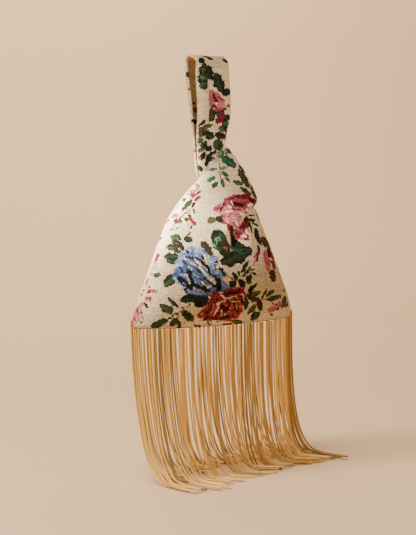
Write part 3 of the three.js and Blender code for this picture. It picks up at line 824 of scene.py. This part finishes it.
        (226, 154.6, 227, 155.2, 1.6, "mauve"), (227, 158.6, 231, 161.6, 1.3, "maroon"),
        (216.4, 156.9, 217.2, 157, 1.4, "coral"), (242, 173, 246, 181, 1.4, "bark"),
        (244, 189.5, 248.5, 192.4, 1.2, "maroon"), (217.8, 171.8, 220.8, 173, 1.8, "gold"),
        (219.3, 160, 220, 170, 0.9, "bark"), (220, 170, 220.4, 178, 0.9, "bark"),
    ],
    "rightSide": [
        (259.3, 246, 259.3, 253.4, 1.7, "darkLeaf"), (265.4, 254.6, 266.9, 266, 5, "mauve"),
        (269, 251.3, 271.5, 260.2, 3.5, "maroon"), (271.8, 257.6, 273.8, 266, 3.2, "crimson"),
        (270.3, 258.6, 271.2, 259.4, 2.4, "blush"), (272.6, 253.6, 273.8, 257, 2.2, "crimson"),
        (267, 266, 269, 268, 2.4, "pink"), (240.4, 276.2, 253.6, 268.7, 1, "bark"),
        (225.4, 274.5, 233.5, 279.6, 1, "bark"), (233.5, 279.6, 238, 280.4, 1, "bark"),
        (250.7, 273.3, 253.8, 269.2, 1.5, "darkLeaf"), (271.9, 302, 275.5, 306, 1.3, "bark"),
        (261.6, 299, 270, 299.5, 1.2, "bark"), (270.7, 310.2, 281.2, 303.6, 5, "mauve"),
        (277.2, 309.5, 278.3, 309.3, 2.2, "maroon"), (276, 304.3, 277, 304.2, 2, "maroon"),
        (272.6, 307.4, 276, 306, 1.8, "pink"), (270.9, 314.6, 272.2, 314.4, 2.8, "black"),
    ],
    "strap": [
        (212, 99, 220, 103, 8, "mauve"), (187, 57.8, 194.5, 57.2, 3.6, "pink"),
        (202.7, 55.4, 212.1, 59.2, 1.3, "black"), (217.6, 56.8, 223, 56.8, 1.3, "gold"),
        (224.1, 60.3, 227, 61.8, 2, "bark"), (211.5, 93.2, 213.5, 97, 5, "mauve"),
        (209.6, 103, 211.8, 104, 4.4, "mauve"), (216, 94, 218.4, 96.4, 3.2, "mauve"),
        (219, 98, 223.4, 100.9, 3, "mauve"), (219, 104, 221.8, 105.6, 4.8, "pink"),
        (216, 109, 221, 109.4, 2.4, "rose"), (218, 97, 222, 99.5, 1.2, "crimson"),
        (213.6, 95.4, 216.8, 101, 1.5, "maroon"), (216, 100.5, 217.6, 102.2, 1.6, "maroon"),
        (215.3, 103.6, 216.4, 103.7, 1.8, "ivory"), (214.4, 105.6, 215.4, 106.8, 1.8, "black"),
        (212.4, 107, 214, 107.6, 1.4, "crimson"), (227.6, 105.7, 228.7, 106.4, 2.5, "rose"),
        (218.9, 121, 222.4, 115.6, 4, "crimson"), (221, 121.6, 223.8, 127, 2.4, "crimson"),
        (219.9, 124.2, 220.8, 124.4, 2, "ivory"), (224.9, 127.4, 226.9, 133.4, 1.5, "maroon"),
        (226.5, 133.9, 225.8, 137.4, 2, "crimson"), (217.5, 135.3, 222.5, 136.4, 1.6, "maroon"),
        (199.5, 128.5, 200.9, 138, 1.8, "olive"), (218.9, 145.6, 219.9, 146.4, 2, "maroon"),
        (199, 158.3, 200, 158.6, 2, "coral"), (199.7, 137.2, 200.9, 138, 1.6, "brown"),
        (201.5, 77.2, 203.5, 77.4, 1.6, "brown"), (185.2, 81.8, 185.9, 82, 1.3, "coral"),
        (188.2, 88.8, 188.9, 89.2, 1.5, "coral"), (192.3, 106, 195.1, 110.1, 3, "rose"),
        (192.7, 105.6, 194.2, 106, 1.6, "blush"), (195.2, 132.3, 196, 133, 2, "rose"),
        (193.4, 150.5, 194.1, 151, 1.6, "coral"),
    ],
}
strokeReach = {"pixels": 1.6, "stretch": 2.4, "shrink": 0.5, "facing": 0.06, "offWeight": 100}


# The cloth as the camera sees it, strip by strip, for laying strokes on it
def seenPatch(panel, strip, layer):
    ids = panel["ids"][strip]
    shown = panel["closed"][ids + layer * len(panel["points"])]
    pixels, depth = toPicture(shown)
    outward = panel["normals"][ids] * (1 - 2 * layer)
    toCamera = cameraAxes()[0] - shown
    flat = panel["flat"][ids]
    facing = (outward * toCamera).sum(axis=2) / np.linalg.norm(toCamera, axis=2)
    return {
        "strip": strip, "layer": layer, "pixels": pixels, "depth": depth, "flat": flat,
        "facing": facing > strokeReach["facing"],
        "pixelTurns": np.stack(np.gradient(pixels, axis=(1, 0)), axis=-1),
        "flatTurns": np.stack(np.gradient(flat, axis=(1, 0)), axis=-1),
    }


seenPatches = [
    dict(seenPatch(panel, strip, layer), panel=key)
    for key, panel in panels.items() for strip in (0, 1) for layer in (0, 1)
]


# The nearest cloth under a pixel, and how far a pixel goes there in flat millimetres
def clothUnder(pixel):
    best = None
    for patch in seenPatches:
        away = np.linalg.norm(patch["pixels"] - pixel, axis=2)
        away = np.where(patch["facing"], away, np.inf)
        spot = np.unravel_index(np.argmin(away), away.shape)
        offBy = max(away[spot] - strokeReach["pixels"], 0)
        rank = offBy * strokeReach["offWeight"] + patch["depth"][spot]
        if best is None or rank < best[0]:
            best = rank, patch, spot
    _, patch, spot = best
    scale = patch["flatTurns"][spot] @ np.linalg.inv(patch["pixelTurns"][spot])
    u, sizes, v = np.linalg.svd(scale)
    scale = u @ np.diag(np.clip(sizes, strokeReach["shrink"], strokeReach["stretch"])) @ v
    return patch, patch["flat"][spot] + scale @ (pixel - patch["pixels"][spot]), scale


def layStroke(row, shape, sheet):
    stroke = dict(zip(strokeColumns, row))
    corner = np.array([sheet["left"], sheet["top"]], float)
    start = corner + np.array([stroke["fromX"], stroke["fromY"]]) / sheet["scale"]
    end = corner + np.array([stroke["toX"], stroke["toY"]]) / sheet["scale"]
    patch, middle, scale = clothUnder((start + end) / 2)
    half = (end - start) / 2
    across = np.array([-half[1], half[0]]) / max(np.linalg.norm(half), 1e-6)
    across = scale @ across * stroke["width"] * sheet["widen"] / sheet["scale"] / 2
    return {
        "panel": patch["panel"], "strip": patch["strip"], "layer": patch["layer"],
        "middle": middle, "half": scale @ half, "across": across,
        "tone": stroke["tone"], "shape": shape,
    }


layingOrder = [("leaf", leafCharts), ("dab", dabCharts)]
strokes = [
    layStroke(row, shape, strapSheet if motif.startswith("strap") else chartSheets.get(motif, plainSheet))
    for shape, charts in layingOrder for motif, rows in charts.items() for row in rows
]
print("strokes laid:", len(strokes))

# Edges are ragged by part of a stitch, in millimetres, and some stitches are of a neighbouring shade
stitching = {
    "ragged": 0.6, "weftShade": 0.06, "stitchShade": 0.19,
    # The bottom seam line is darkened both as a dark stitched seam and as painted shadow where the panel
    # meets the base.
    "hem": 6, "seamAndShadowLine": 1.3, "seamAndShadowShade": 0.42,
    "lightFlecks": 0.14, "darkFlecks": 0.2, "streak": 0.9, "streakShade": 0.22,
    "clearEdge": 14.4, "wefts": 600, "streakCount": 997,
}
# How flecks and threads shift from stroke to stroke, and what they do to the shade
flecking = {
    "shift": 0.618, "threadShift": 37.7, "least": 0.9, "spread": 0.2,
    "lighter": 1.45, "lift": 0.04, "darker": 0.58,
}
dyeing = {"chroma": 1.06, "darken": 1.14, "least": 0.004}
rng = np.random.default_rng(11)
streaks = rng.normal(0, stitching["streakShade"], stitching["streakCount"])


# A tone as dyed thread, a little deeper than it looks in the light
def dye(name):
    colour = linear(tones[name])
    grey = colour.mean()
    rich = np.clip(grey + (colour - grey) * dyeing["chroma"], dyeing["least"], 1)
    return rich * grey ** (dyeing["darken"] - 1)


# A leaf is a pointed lens with a light midrib, side veins and one half in shade
leafLook = {
    "toothed": 5, "teeth": 0.12, "teethTurns": 9, "point": 0.55, "lightHalf": 1.35,
    "veins": 2.6, "veinSlant": 0.9, "veinWidth": 0.22, "veinShade": 0.7,
    "border": 0.3, "borderShade": 0.6, "midrib": 0.16, "midribFrom": 1.5, "midribShade": 2.0,
}
dabLook = {"across": 0.1, "along": 0.06, "waves": 7}


def leafShade(along, across, ragged, halfWidth):
    look = leafLook
    teeth = look["teeth"] * np.sign(np.sin(look["teethTurns"] * along)) * (halfWidth > look["toothed"])
    outline = np.maximum(1 - along**2, 0) ** look["point"] * (1 + teeth)
    inside = np.abs(across) < outline + ragged * (np.abs(along) < 1)
    shade = np.where(across > 0, look["lightHalf"], 1.0)
    veins = np.mod(along * look["veins"] - np.abs(across) * look["veinSlant"], 1) < look["veinWidth"]
    shade = np.where(veins, shade * look["veinShade"], shade)
    shade = np.where(np.abs(across) > outline - look["border"], shade * look["borderShade"], shade)
    midrib = (np.abs(across) < look["midrib"]) & (halfWidth > look["midribFrom"])
    return inside, np.where(midrib, look["midribShade"], shade)


def dabShade(along, across, ragged, slender):
    beyond = np.maximum(np.abs(along) - 1, 0) * slender
    inside = np.hypot(beyond, across) < 1 + ragged
    waves = np.sin(dabLook["waves"] * along)
    return inside, 1 + dabLook["across"] * across + dabLook["along"] * waves


def paintStroke(panel, colours, stroke, number):
    offset = panel["faceFlat"] - stroke["middle"]
    ownAxes = np.stack([stroke["half"], stroke["across"]], axis=1)
    along, across = np.linalg.inv(ownAxes) @ offset.T
    halfWidth = np.linalg.norm(stroke["across"])
    slender = np.linalg.norm(stroke["half"]) / halfWidth
    ragged = panel["ragged"] / halfWidth
    if stroke["shape"] == "leaf":
        inside, shade = leafShade(along, across, ragged, halfWidth)
    else:
        inside, shade = dabShade(along, across, ragged, slender)
    sameStrip = (panel["strip"] == stroke["strip"]) | panel["inPouch"]
    hit = np.flatnonzero(inside & sameStrip & (panel["layer"] != 1 - stroke["layer"]))
    fleck = np.mod(panel["fleck"][hit] + number * flecking["shift"], 1)
    thread = across[hit] * halfWidth / stitching["streak"] + number * flecking["threadShift"]
    streak = streaks[thread.astype(int) % len(streaks)]
    shade = shade[hit] * (flecking["least"] + flecking["spread"] * fleck) * (1 + streak)
    lighter = shade * flecking["lighter"] + flecking["lift"]
    shade = np.where(fleck < stitching["lightFlecks"], lighter, shade)
    shade = np.where(fleck > 1 - stitching["darkFlecks"], shade * flecking["darker"], shade)
    colours[hit] = dye(stroke["tone"]) * shade[:, None]


# Where the left edge of a strip lies at a height of the flat cloth
def edgeAt(panel, strip, up):
    edge = panel["flat"][panel["ids"][strip][:, 0]]
    return np.interp(up, edge[:, 1], edge[:, 0])


# The back is cut from the same cloth, so the front's strokes lie on it too, clear of the seen edge
def strokesFor(key):
    own = [stroke for stroke in strokes if stroke["panel"] == key]
    if key == "front":
        return own
    shared = []
    for stroke in strokes:
        across, up = stroke["middle"]
        onStrap = stroke["strip"] == 1 and up > neck["height"]
        edge = edgeAt(panels["front"], int(onStrap), up)
        if stroke["panel"] == "front" and across > edge + stitching["clearEdge"]:
            shared.append(stroke)
    return shared + own


def paintPanel(key):
    panel = panels[key]
    count = len(panel["quads"])
    colours = np.tile(dye("cream"), (count, 1))
    panel["ragged"] = rng.uniform(-stitching["ragged"], stitching["ragged"], count)
    panel["fleck"] = rng.random(count)
    lining = panel["layer"] == 1
    hem = panel["fromEdge"] < stitching["hem"]
    colours[lining & ~(hem & ~panel["inPouch"])] = dye("lining")
    for number, stroke in enumerate(strokesFor(key)):
        paintStroke(panel, colours, stroke, number)
    weft = (panel["faceFlat"][:, 1] / bag["stitch"]).astype(int)
    weftShade = rng.normal(1, stitching["weftShade"], stitching["wefts"])[weft % stitching["wefts"]]
    stitchShade = rng.normal(1, stitching["stitchShade"], count)
    # Painted shadow together with the dark stitched seam: faces along the bottom edge are darkened.
    bottom = panel["faceFlat"][:, 1] < stitching["seamAndShadowLine"]
    seamAndShadowShade = np.where(bottom, stitching["seamAndShadowShade"], 1)
    return np.clip(colours * (weftShade * stitchShade * seamAndShadowShade)[:, None], 0, 1)


# Pieces of cloth
def makePanel(key, node):
    panel = panels[key]
    obj = meshPiece(key + "Panel", panel["closed"], panel["quads"], tapestry)
    count = len(panel["points"])
    addColours(obj.data, "stitches", np.repeat(paintPanel(key), 4, axis=0))
    addUv(obj.data, "flat", panel["flat"][panel["quads"].ravel() % count])
    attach(obj, "root")
    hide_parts(node)
    return obj


frontPanel = makePanel("front", "front_panel")
backPanel = makePanel("back", "back_panel")
print("panels made")

basePanel = {"inset": 3.3, "rings": 22, "segments": 120, "sag": 1.2, "shade": (0.94, 1.05)}


def makeBase():
    size = basePanel
    turn = np.linspace(0, 2 * math.pi, size["segments"], endpoint=False)
    share = np.linspace(0, 1, size["rings"] + 1)[1:]
    halfLength = pouchSections["right"][0] - size["inset"]
    halfWidth = pouchSections["depth"][0] - size["inset"]
    x = halfLength * share[:, None] * np.cos(turn)
    y = halfWidth * share[:, None] * np.sin(turn)
    under = -bag["baseDrop"] - size["sag"] * (1 - share[:, None] ** 2) + 0 * x
    low = np.stack([x, y, under], axis=-1).reshape(-1, 3)
    points = np.concatenate([low, low + [0, 0, bag["cloth"]]])
    ids = closeRing(np.arange(len(low)).reshape(x.shape))
    disc = gridQuads(ids, 1)
    edge = np.stack([ids[-1, :-1], ids[-1, 1:]], axis=1)
    rim = np.stack([edge[:, 0], edge[:, 1], edge[:, 1] + len(low), edge[:, 0] + len(low)], axis=1)
    middle = [ids[0, :-1][::-1].tolist(), (ids[0, :-1] + len(low)).tolist()]
    faces = np.concatenate([disc, disc[:, ::-1] + len(low), rim]).tolist() + middle
    obj = meshPiece("basePanel", points, faces, tapestry)
    corners = np.concatenate([np.asarray(face) for face in faces])
    shade = rng.uniform(*size["shade"], (len(faces), 1))
    shade = np.repeat(shade, [len(face) for face in faces], axis=0)
    addColours(obj.data, "stitches", dye("cream") * shade)
    addUv(obj.data, "flat", points[corners][:, :2])
    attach(obj, "root")
    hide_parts("base_panel")
    return obj


basePiece = makeBase()
print("base made")

# Fringe: looped cords sewn side by side round a heading, falling to the floor and swept forward
fringe = {
    "headingLength": 107, "headingWidth": 39, "loops": 62, "radius": 0.88, "radiusSpread": (0.9, 1.1),
    "sides": 6, "steps": 44, "crowding": 0.9,
    "turnSteps": 5, "tipHalf": 1.25, "tipLength": 2.6, "tipFrom": 0.7,
    "floor": -148, "lift": 3, "uneven": 0.28, "clump": 5, "pull": 0.22, "pullFrom": 0.35,
    "endReach": 74, "frontReach": 28, "backReach": 50, "reachSpread": 0.1, "reachMost": 1.08,
    "frontSweep": 30, "frontLag": 0.5, "straighter": 0.45, "sideShare": 1.5,
    "sway": 1.5, "swayFrom": (0.05, 0.8), "swayTurns": (4, 3),
    "shades": [0.4, 0.65, 1, 1.2], "sewnIn": 0.4, "sewnUnder": 0.8,
}
# Strands beside the side seams are sewn a little higher; the limits are sines of the turn
fringeEnds = {"rise": 7, "out": 4.2, "left": (0.15, 0.34), "right": (-0.5, -0.36), "back": (0.55, 0.8)}
cordFall = table("at forward drop", [
    (0, 0, 0),
    (1 / 6, 0.04, 0.27),
    (2 / 6, 0.12, 0.54),
    (3 / 6, 0.28, 0.82),
    (4 / 6, 0.5, 0.97),
    (5 / 6, 0.74, 1),
    (1, 1, 1),
])
rngFringe = np.random.default_rng(23)


def evenTurns(count, halfLength, halfWidth):
    fine = np.linspace(0, 2 * math.pi, measuring["turns"])
    length = runLength(np.stack([halfLength * np.cos(fine), halfWidth * np.sin(fine)], axis=1))
    return np.interp((np.arange(count) + 0.5) / count * length[-1], length, fine)


# Where a strand hangs at each share of its length, with the clump that its tip is drawn to
def strandPath(turn, clumpTurn, lift, reachShare):
    share = np.linspace(0, 1, fringe["steps"]) ** fringe["crowding"]
    behindLeft = smoothStep(*fringeEnds["left"], math.sin(turn)) * (math.cos(turn) < 0)
    roundRight = smoothStep(*fringeEnds["right"], math.sin(turn)) * (math.cos(turn) > 0)
    atEnd = max(behindLeft, roundRight) * (1 - smoothStep(*fringeEnds["back"], math.sin(turn)))
    out = fringeEnds["out"] * atEnd - fringe["sewnIn"]
    root = fringe["headingLength"] + out, fringe["headingWidth"] + out
    pull = fringe["pull"] * smoothStep(fringe["pullFrom"], 1, share)
    hung = turn + (clumpTurn - turn) * pull
    front = np.maximum(-np.sin(hung), 0) ** fringe["sideShare"]
    rightEnd = fringe["straighter"] * np.maximum(np.cos(hung), 0)
    late = 1 + fringe["frontLag"] * front + rightEnd
    forward = smoothAt(cordFall, "forward", share) ** late * reachShare
    drop = np.minimum(smoothAt(cordFall, "drop", share), 1)
    behind = np.maximum(np.sin(hung), 0) ** fringe["sideShare"]
    reach = fringe["endReach"] + (fringe["frontReach"] - fringe["endReach"]) * front
    reach = reach + (fringe["backReach"] - fringe["endReach"]) * behind
    phase = rngFringe.uniform(0, 2 * math.pi, 2)
    sway = fringe["sway"] * smoothStep(*fringe["swayFrom"], share)
    turnsX, turnsY = fringe["swayTurns"]
    sweep = fringe["frontSweep"] * front * forward
    x = root[0] * np.cos(hung) + sweep + sway * np.sin(turnsX * share + phase[0])
    y = root[1] * np.sin(hung) - reach * forward + sway * np.sin(turnsY * share + phase[1])
    top = fringeEnds["rise"] * atEnd - fringe["sewnUnder"]
    fall = top - fringe["floor"] - fringe["radius"] - lift
    return np.stack([x, y, top - fall * drop - bag["baseDrop"]], axis=1)


# Two strands and the small turn that joins their tips
def loopPath(first, second):
    tip = (first[-1] + second[-1]) / 2
    for strand in (first, second):
        toTip = smoothStep(fringe["tipFrom"], 1, np.linspace(0, 1, fringe["steps"]))[:, None]
        apart = (strand[-1] - tip) / max(np.linalg.norm(strand[-1] - tip), 1e-6)
        strand += (tip + apart * fringe["tipHalf"] - strand[-1]) * toTip
    ahead = first[-1] - first[-4]
    ahead = ahead / np.linalg.norm(ahead)
    half = (first[-1] - second[-1]) / 2
    bend = np.linspace(0, math.pi, fringe["turnSteps"] + 2)[1:-1, None]
    middle = (first[-1] + second[-1]) / 2
    turn = middle + half * np.cos(bend) + ahead * fringe["tipLength"] * np.sin(bend)
    return np.concatenate([first, turn, second[::-1]])


def tube(path, radius, sides):
    ahead = np.gradient(path, axis=0)
    ahead = ahead / np.linalg.norm(ahead, axis=1, keepdims=True)
    aside = np.cross(ahead, [1.0, 0.0, 0.0])
    small = np.linalg.norm(aside, axis=1) < 0.3
    aside[small] = np.cross(ahead[small], [0.0, 0.0, 1.0])
    aside = aside / np.linalg.norm(aside, axis=1, keepdims=True)
    up = np.cross(ahead, aside)
    angle = np.linspace(0, 2 * math.pi, sides, endpoint=False)
    ring = np.cos(angle)[None, :, None] * aside[:, None] + np.sin(angle)[None, :, None] * up[:, None]
    return path[:, None] + radius * ring


def makeFringe(material):
    count = fringe["loops"] * 2
    turns = evenTurns(count, fringe["headingLength"], fringe["headingWidth"])
    spacing = np.gradient(turns)
    clumpOf = np.arange(count) // fringe["clump"]
    clumpTurns = np.array([turns[clumpOf == clump].mean() for clump in clumpOf])
    turns = turns + spacing * rngFringe.normal(0, fringe["uneven"], count)
    points = []
    faces = []
    shades = []
    places = []
    offset = 0
    for loop in range(fringe["loops"]):
        lift = rngFringe.uniform(0, fringe["lift"])
        reachShare = min(rngFringe.normal(1, fringe["reachSpread"]), fringe["reachMost"])
        pair = (2 * loop, 2 * loop + 1)
        strands = [strandPath(turns[k], clumpTurns[k], lift, reachShare) for k in pair]
        path = loopPath(*strands)
        radius = fringe["radius"] * rngFringe.uniform(*fringe["radiusSpread"])
        rings = tube(path, radius, fringe["sides"])
        ids = np.arange(len(path) * fringe["sides"]).reshape(len(path), fringe["sides"]) + offset
        quads = gridQuads(closeRing(ids), 1)
        run = runLength(path)
        around = np.arange(fringe["sides"] + 1) / fringe["sides"]
        grid = np.stack(np.broadcast_arrays(around[None, :], run[:, None]), axis=-1)
        corners = [grid[:-1, :-1], grid[:-1, 1:], grid[1:, 1:], grid[1:, :-1]]
        places.append(np.stack([c.reshape(-1, 2) for c in corners], axis=1)[:, ::-1].reshape(-1, 2))
        shades.append(np.full(len(quads) * 4, rngFringe.choice(fringe["shades"])))
        points.append(rings.reshape(-1, 3))
        faces.append(quads)
        offset += rings.shape[0] * rings.shape[1]
    obj = meshPiece("fringeCords", np.concatenate(points), np.concatenate(faces), material)
    shade = np.concatenate(shades)[:, None]
    addColours(obj.data, "strandShade", np.repeat(shade, 3, axis=1))
    addUv(obj.data, "cordPlace", np.concatenate(places))
    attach(obj, "root")
    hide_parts("fringe")
    return obj


cordLook = {
    "colour": (232, 192, 106), "metallic": 0.45, "roughness": 0.32, "sheen": 0.2,
    "twist": (1.0, 0.8, 1), "plyScale": 0.6, "bump": 0.4, "bumpDistance": 0.0004,
}


def cordMaterial():
    material, tree, shader = newMaterial("goldCord")
    shade = addNode(tree, "ShaderNodeVertexColor", layer_name="strandShade")
    gold = addNode(tree, "ShaderNodeMix", {"Factor": 1.0}, data_type="RGBA", blend_type="MULTIPLY")
    gold.inputs["A"].default_value = (*linear(cordLook["colour"]), 1)
    tree.links.new(shade.outputs["Color"], gold.inputs["B"])
    tree.links.new(gold.outputs["Result"], shader.inputs["Base Color"])
    place = addNode(tree, "ShaderNodeUVMap", uv_map="cordPlace")
    twist = addNode(tree, "ShaderNodeMapping", {
        "Vector": place.outputs["UV"],
        "Scale": cordLook["twist"],
    })
    plies = addNode(tree, "ShaderNodeTexWave", {
        "Vector": twist.outputs[0],
        "Scale": cordLook["plyScale"],
    }, bands_direction="DIAGONAL")
    bump = addNode(tree, "ShaderNodeBump", {
        "Height": plies.outputs["Fac"],
        "Strength": cordLook["bump"],
        "Distance": cordLook["bumpDistance"],
    })
    tree.links.new(bump.outputs[0], shader.inputs["Normal"])
    shader.inputs["Metallic"].default_value = cordLook["metallic"]
    shader.inputs["Roughness"].default_value = cordLook["roughness"]
    shader.inputs["Sheen Weight"].default_value = cordLook["sheen"]
    return material


goldCord = cordMaterial()
fringePiece = makeFringe(goldCord)
print("fringe made:", len(fringePiece.data.polygons) * 2, "triangles")


# A pale floor that turns up into a round wall, and soft light
studio = {
    "floor": -0.4156, "flat": 1.7, "wall": 2.5, "top": 2.6, "segments": 128, "bend": 14,
    "rings": (0.02, 0.6, 1.2), "colour": (226, 198, 160), "roughness": 0.9,
}


def makeStudio():
    bend = np.linspace(0, math.pi / 2, studio["bend"])
    coving = studio["wall"] - studio["flat"]
    rings = studio["rings"]
    radius = np.concatenate([rings, studio["flat"] + coving * np.sin(bend), [studio["wall"]]])
    height = np.concatenate([np.zeros(len(rings)), coving * (1 - np.cos(bend)), [studio["top"]]])
    height = height + studio["floor"]
    turn = np.linspace(0, 2 * math.pi, studio["segments"], endpoint=False)
    x = radius[:, None] * np.cos(turn)
    y = radius[:, None] * np.sin(turn)
    points = np.stack([x, y, height[:, None] + 0 * x], axis=-1).reshape(-1, 3)
    ids = closeRing(np.arange(len(points)).reshape(x.shape))
    faces = gridQuads(ids, 1)[:, ::-1].tolist() + [ids[0, :-1][::-1].tolist()]
    material, _, shader = newMaterial("studioPaint")
    shader.inputs["Base Color"].default_value = (*linear(studio["colour"]), 1)
    shader.inputs["Roughness"].default_value = studio["roughness"]
    obj = meshPiece("studio", points / millimetre, faces, material)
    return obj


# Places are right of the camera's line, towards the camera and up, in metres from the bag's top
def fromCamera(aside, near, up):
    _, right, _, ahead = cameraAxes()
    level = np.array([ahead[0], ahead[1], 0])
    return aside * right - near * level + np.array([0, 0, up])


def gather(name, objects):
    group = bpy.data.collections.new(name)
    for obj in objects:
        group.objects.link(obj)
    return group


def placeLight(name, data, place, aim, fallsOn):
    spot = fromCamera(*place)
    obj = bpy.data.objects.new(name, data)
    obj.light_linking.receiver_collection = fallsOn
    back = spot - fromCamera(*aim)
    back = back / np.linalg.norm(back)
    side = np.cross([0, 0, 1], back)
    side = side / np.linalg.norm(side)
    turn = Matrix([side, np.cross(back, side), back]).transposed().to_4x4()
    obj.matrix_world = Matrix.Translation(spot) @ turn
    bpy.context.scene.collection.objects.link(obj)


def softBox(name, place, aim, size, power, colour, fallsOn=None):
    data = bpy.data.lights.new(name, "AREA")
    data.shape = "DISK"
    data.size = size
    data.energy = power
    data.color = colour
    placeLight(name, data, place, aim, fallsOn)


def softSpot(name, place, aim, size, power, colour, cone, fallsOn=None):
    data = bpy.data.lights.new(name, "SPOT")
    data.shadow_soft_size = size
    data.energy = power
    data.color = colour
    data.spot_size = math.radians(cone)
    data.spot_blend = 1.0
    placeLight(name, data, place, aim, fallsOn)


bagPieces = gather("bagPieces", [frontPanel, backPanel, basePiece, fringePiece])
studioPieces = gather("studioPieces", [makeStudio(), fringePiece])
warm = (1.0, 0.93, 0.84)
amber = (1.0, 0.86, 0.66)
sunny = (1.0, 0.92, 0.8)
pale = (0.94, 0.95, 0.94)
bagMiddle = (0, 0, -0.2)
shoulder = (-0.046, 0.03, -0.152)
flank = (-0.045, 0.03, -0.178)
strapFace = (0, 0.02, -0.07)
floorMiddle = (-0.1, 0.1, -0.4)
wallMiddle = (0, -2.5, 0.1)
softSpot("shoulderSpot", (-0.4, 1.0, 0.6), shoulder, 0.03, 640, sunny, 5.4, bagPieces)
softSpot("flankSpot", (-1.1, 0.45, 0.35), flank, 0.05, 460, sunny, 7.6, bagPieces)
softSpot("strapSpot", (0.45, 1.0, 0.4), strapFace, 0.1, 90, pale, 9, bagPieces)
softBox("keyLight", (-1.0, 0.5, 0.6), bagMiddle, 0.45, 16, sunny)
softBox("floorLight", (-0.5, 0.5, 1.6), floorMiddle, 1.4, 42, warm, studioPieces)
softBox("fillLight", (0.9, 1.5, 0.3), bagMiddle, 1.4, 0.7, amber)
softBox("wallLight", (-0.5, -1.3, 1.3), wallMiddle, 0.6, 36, warm)
world = bpy.data.worlds.new("studioAir")
world.use_nodes = True
world.node_tree.nodes["Background"].inputs["Color"].default_value = (*amber, 1)
world.node_tree.nodes["Background"].inputs["Strength"].default_value = 0.045
bpy.context.scene.world = world
print("studio lit")
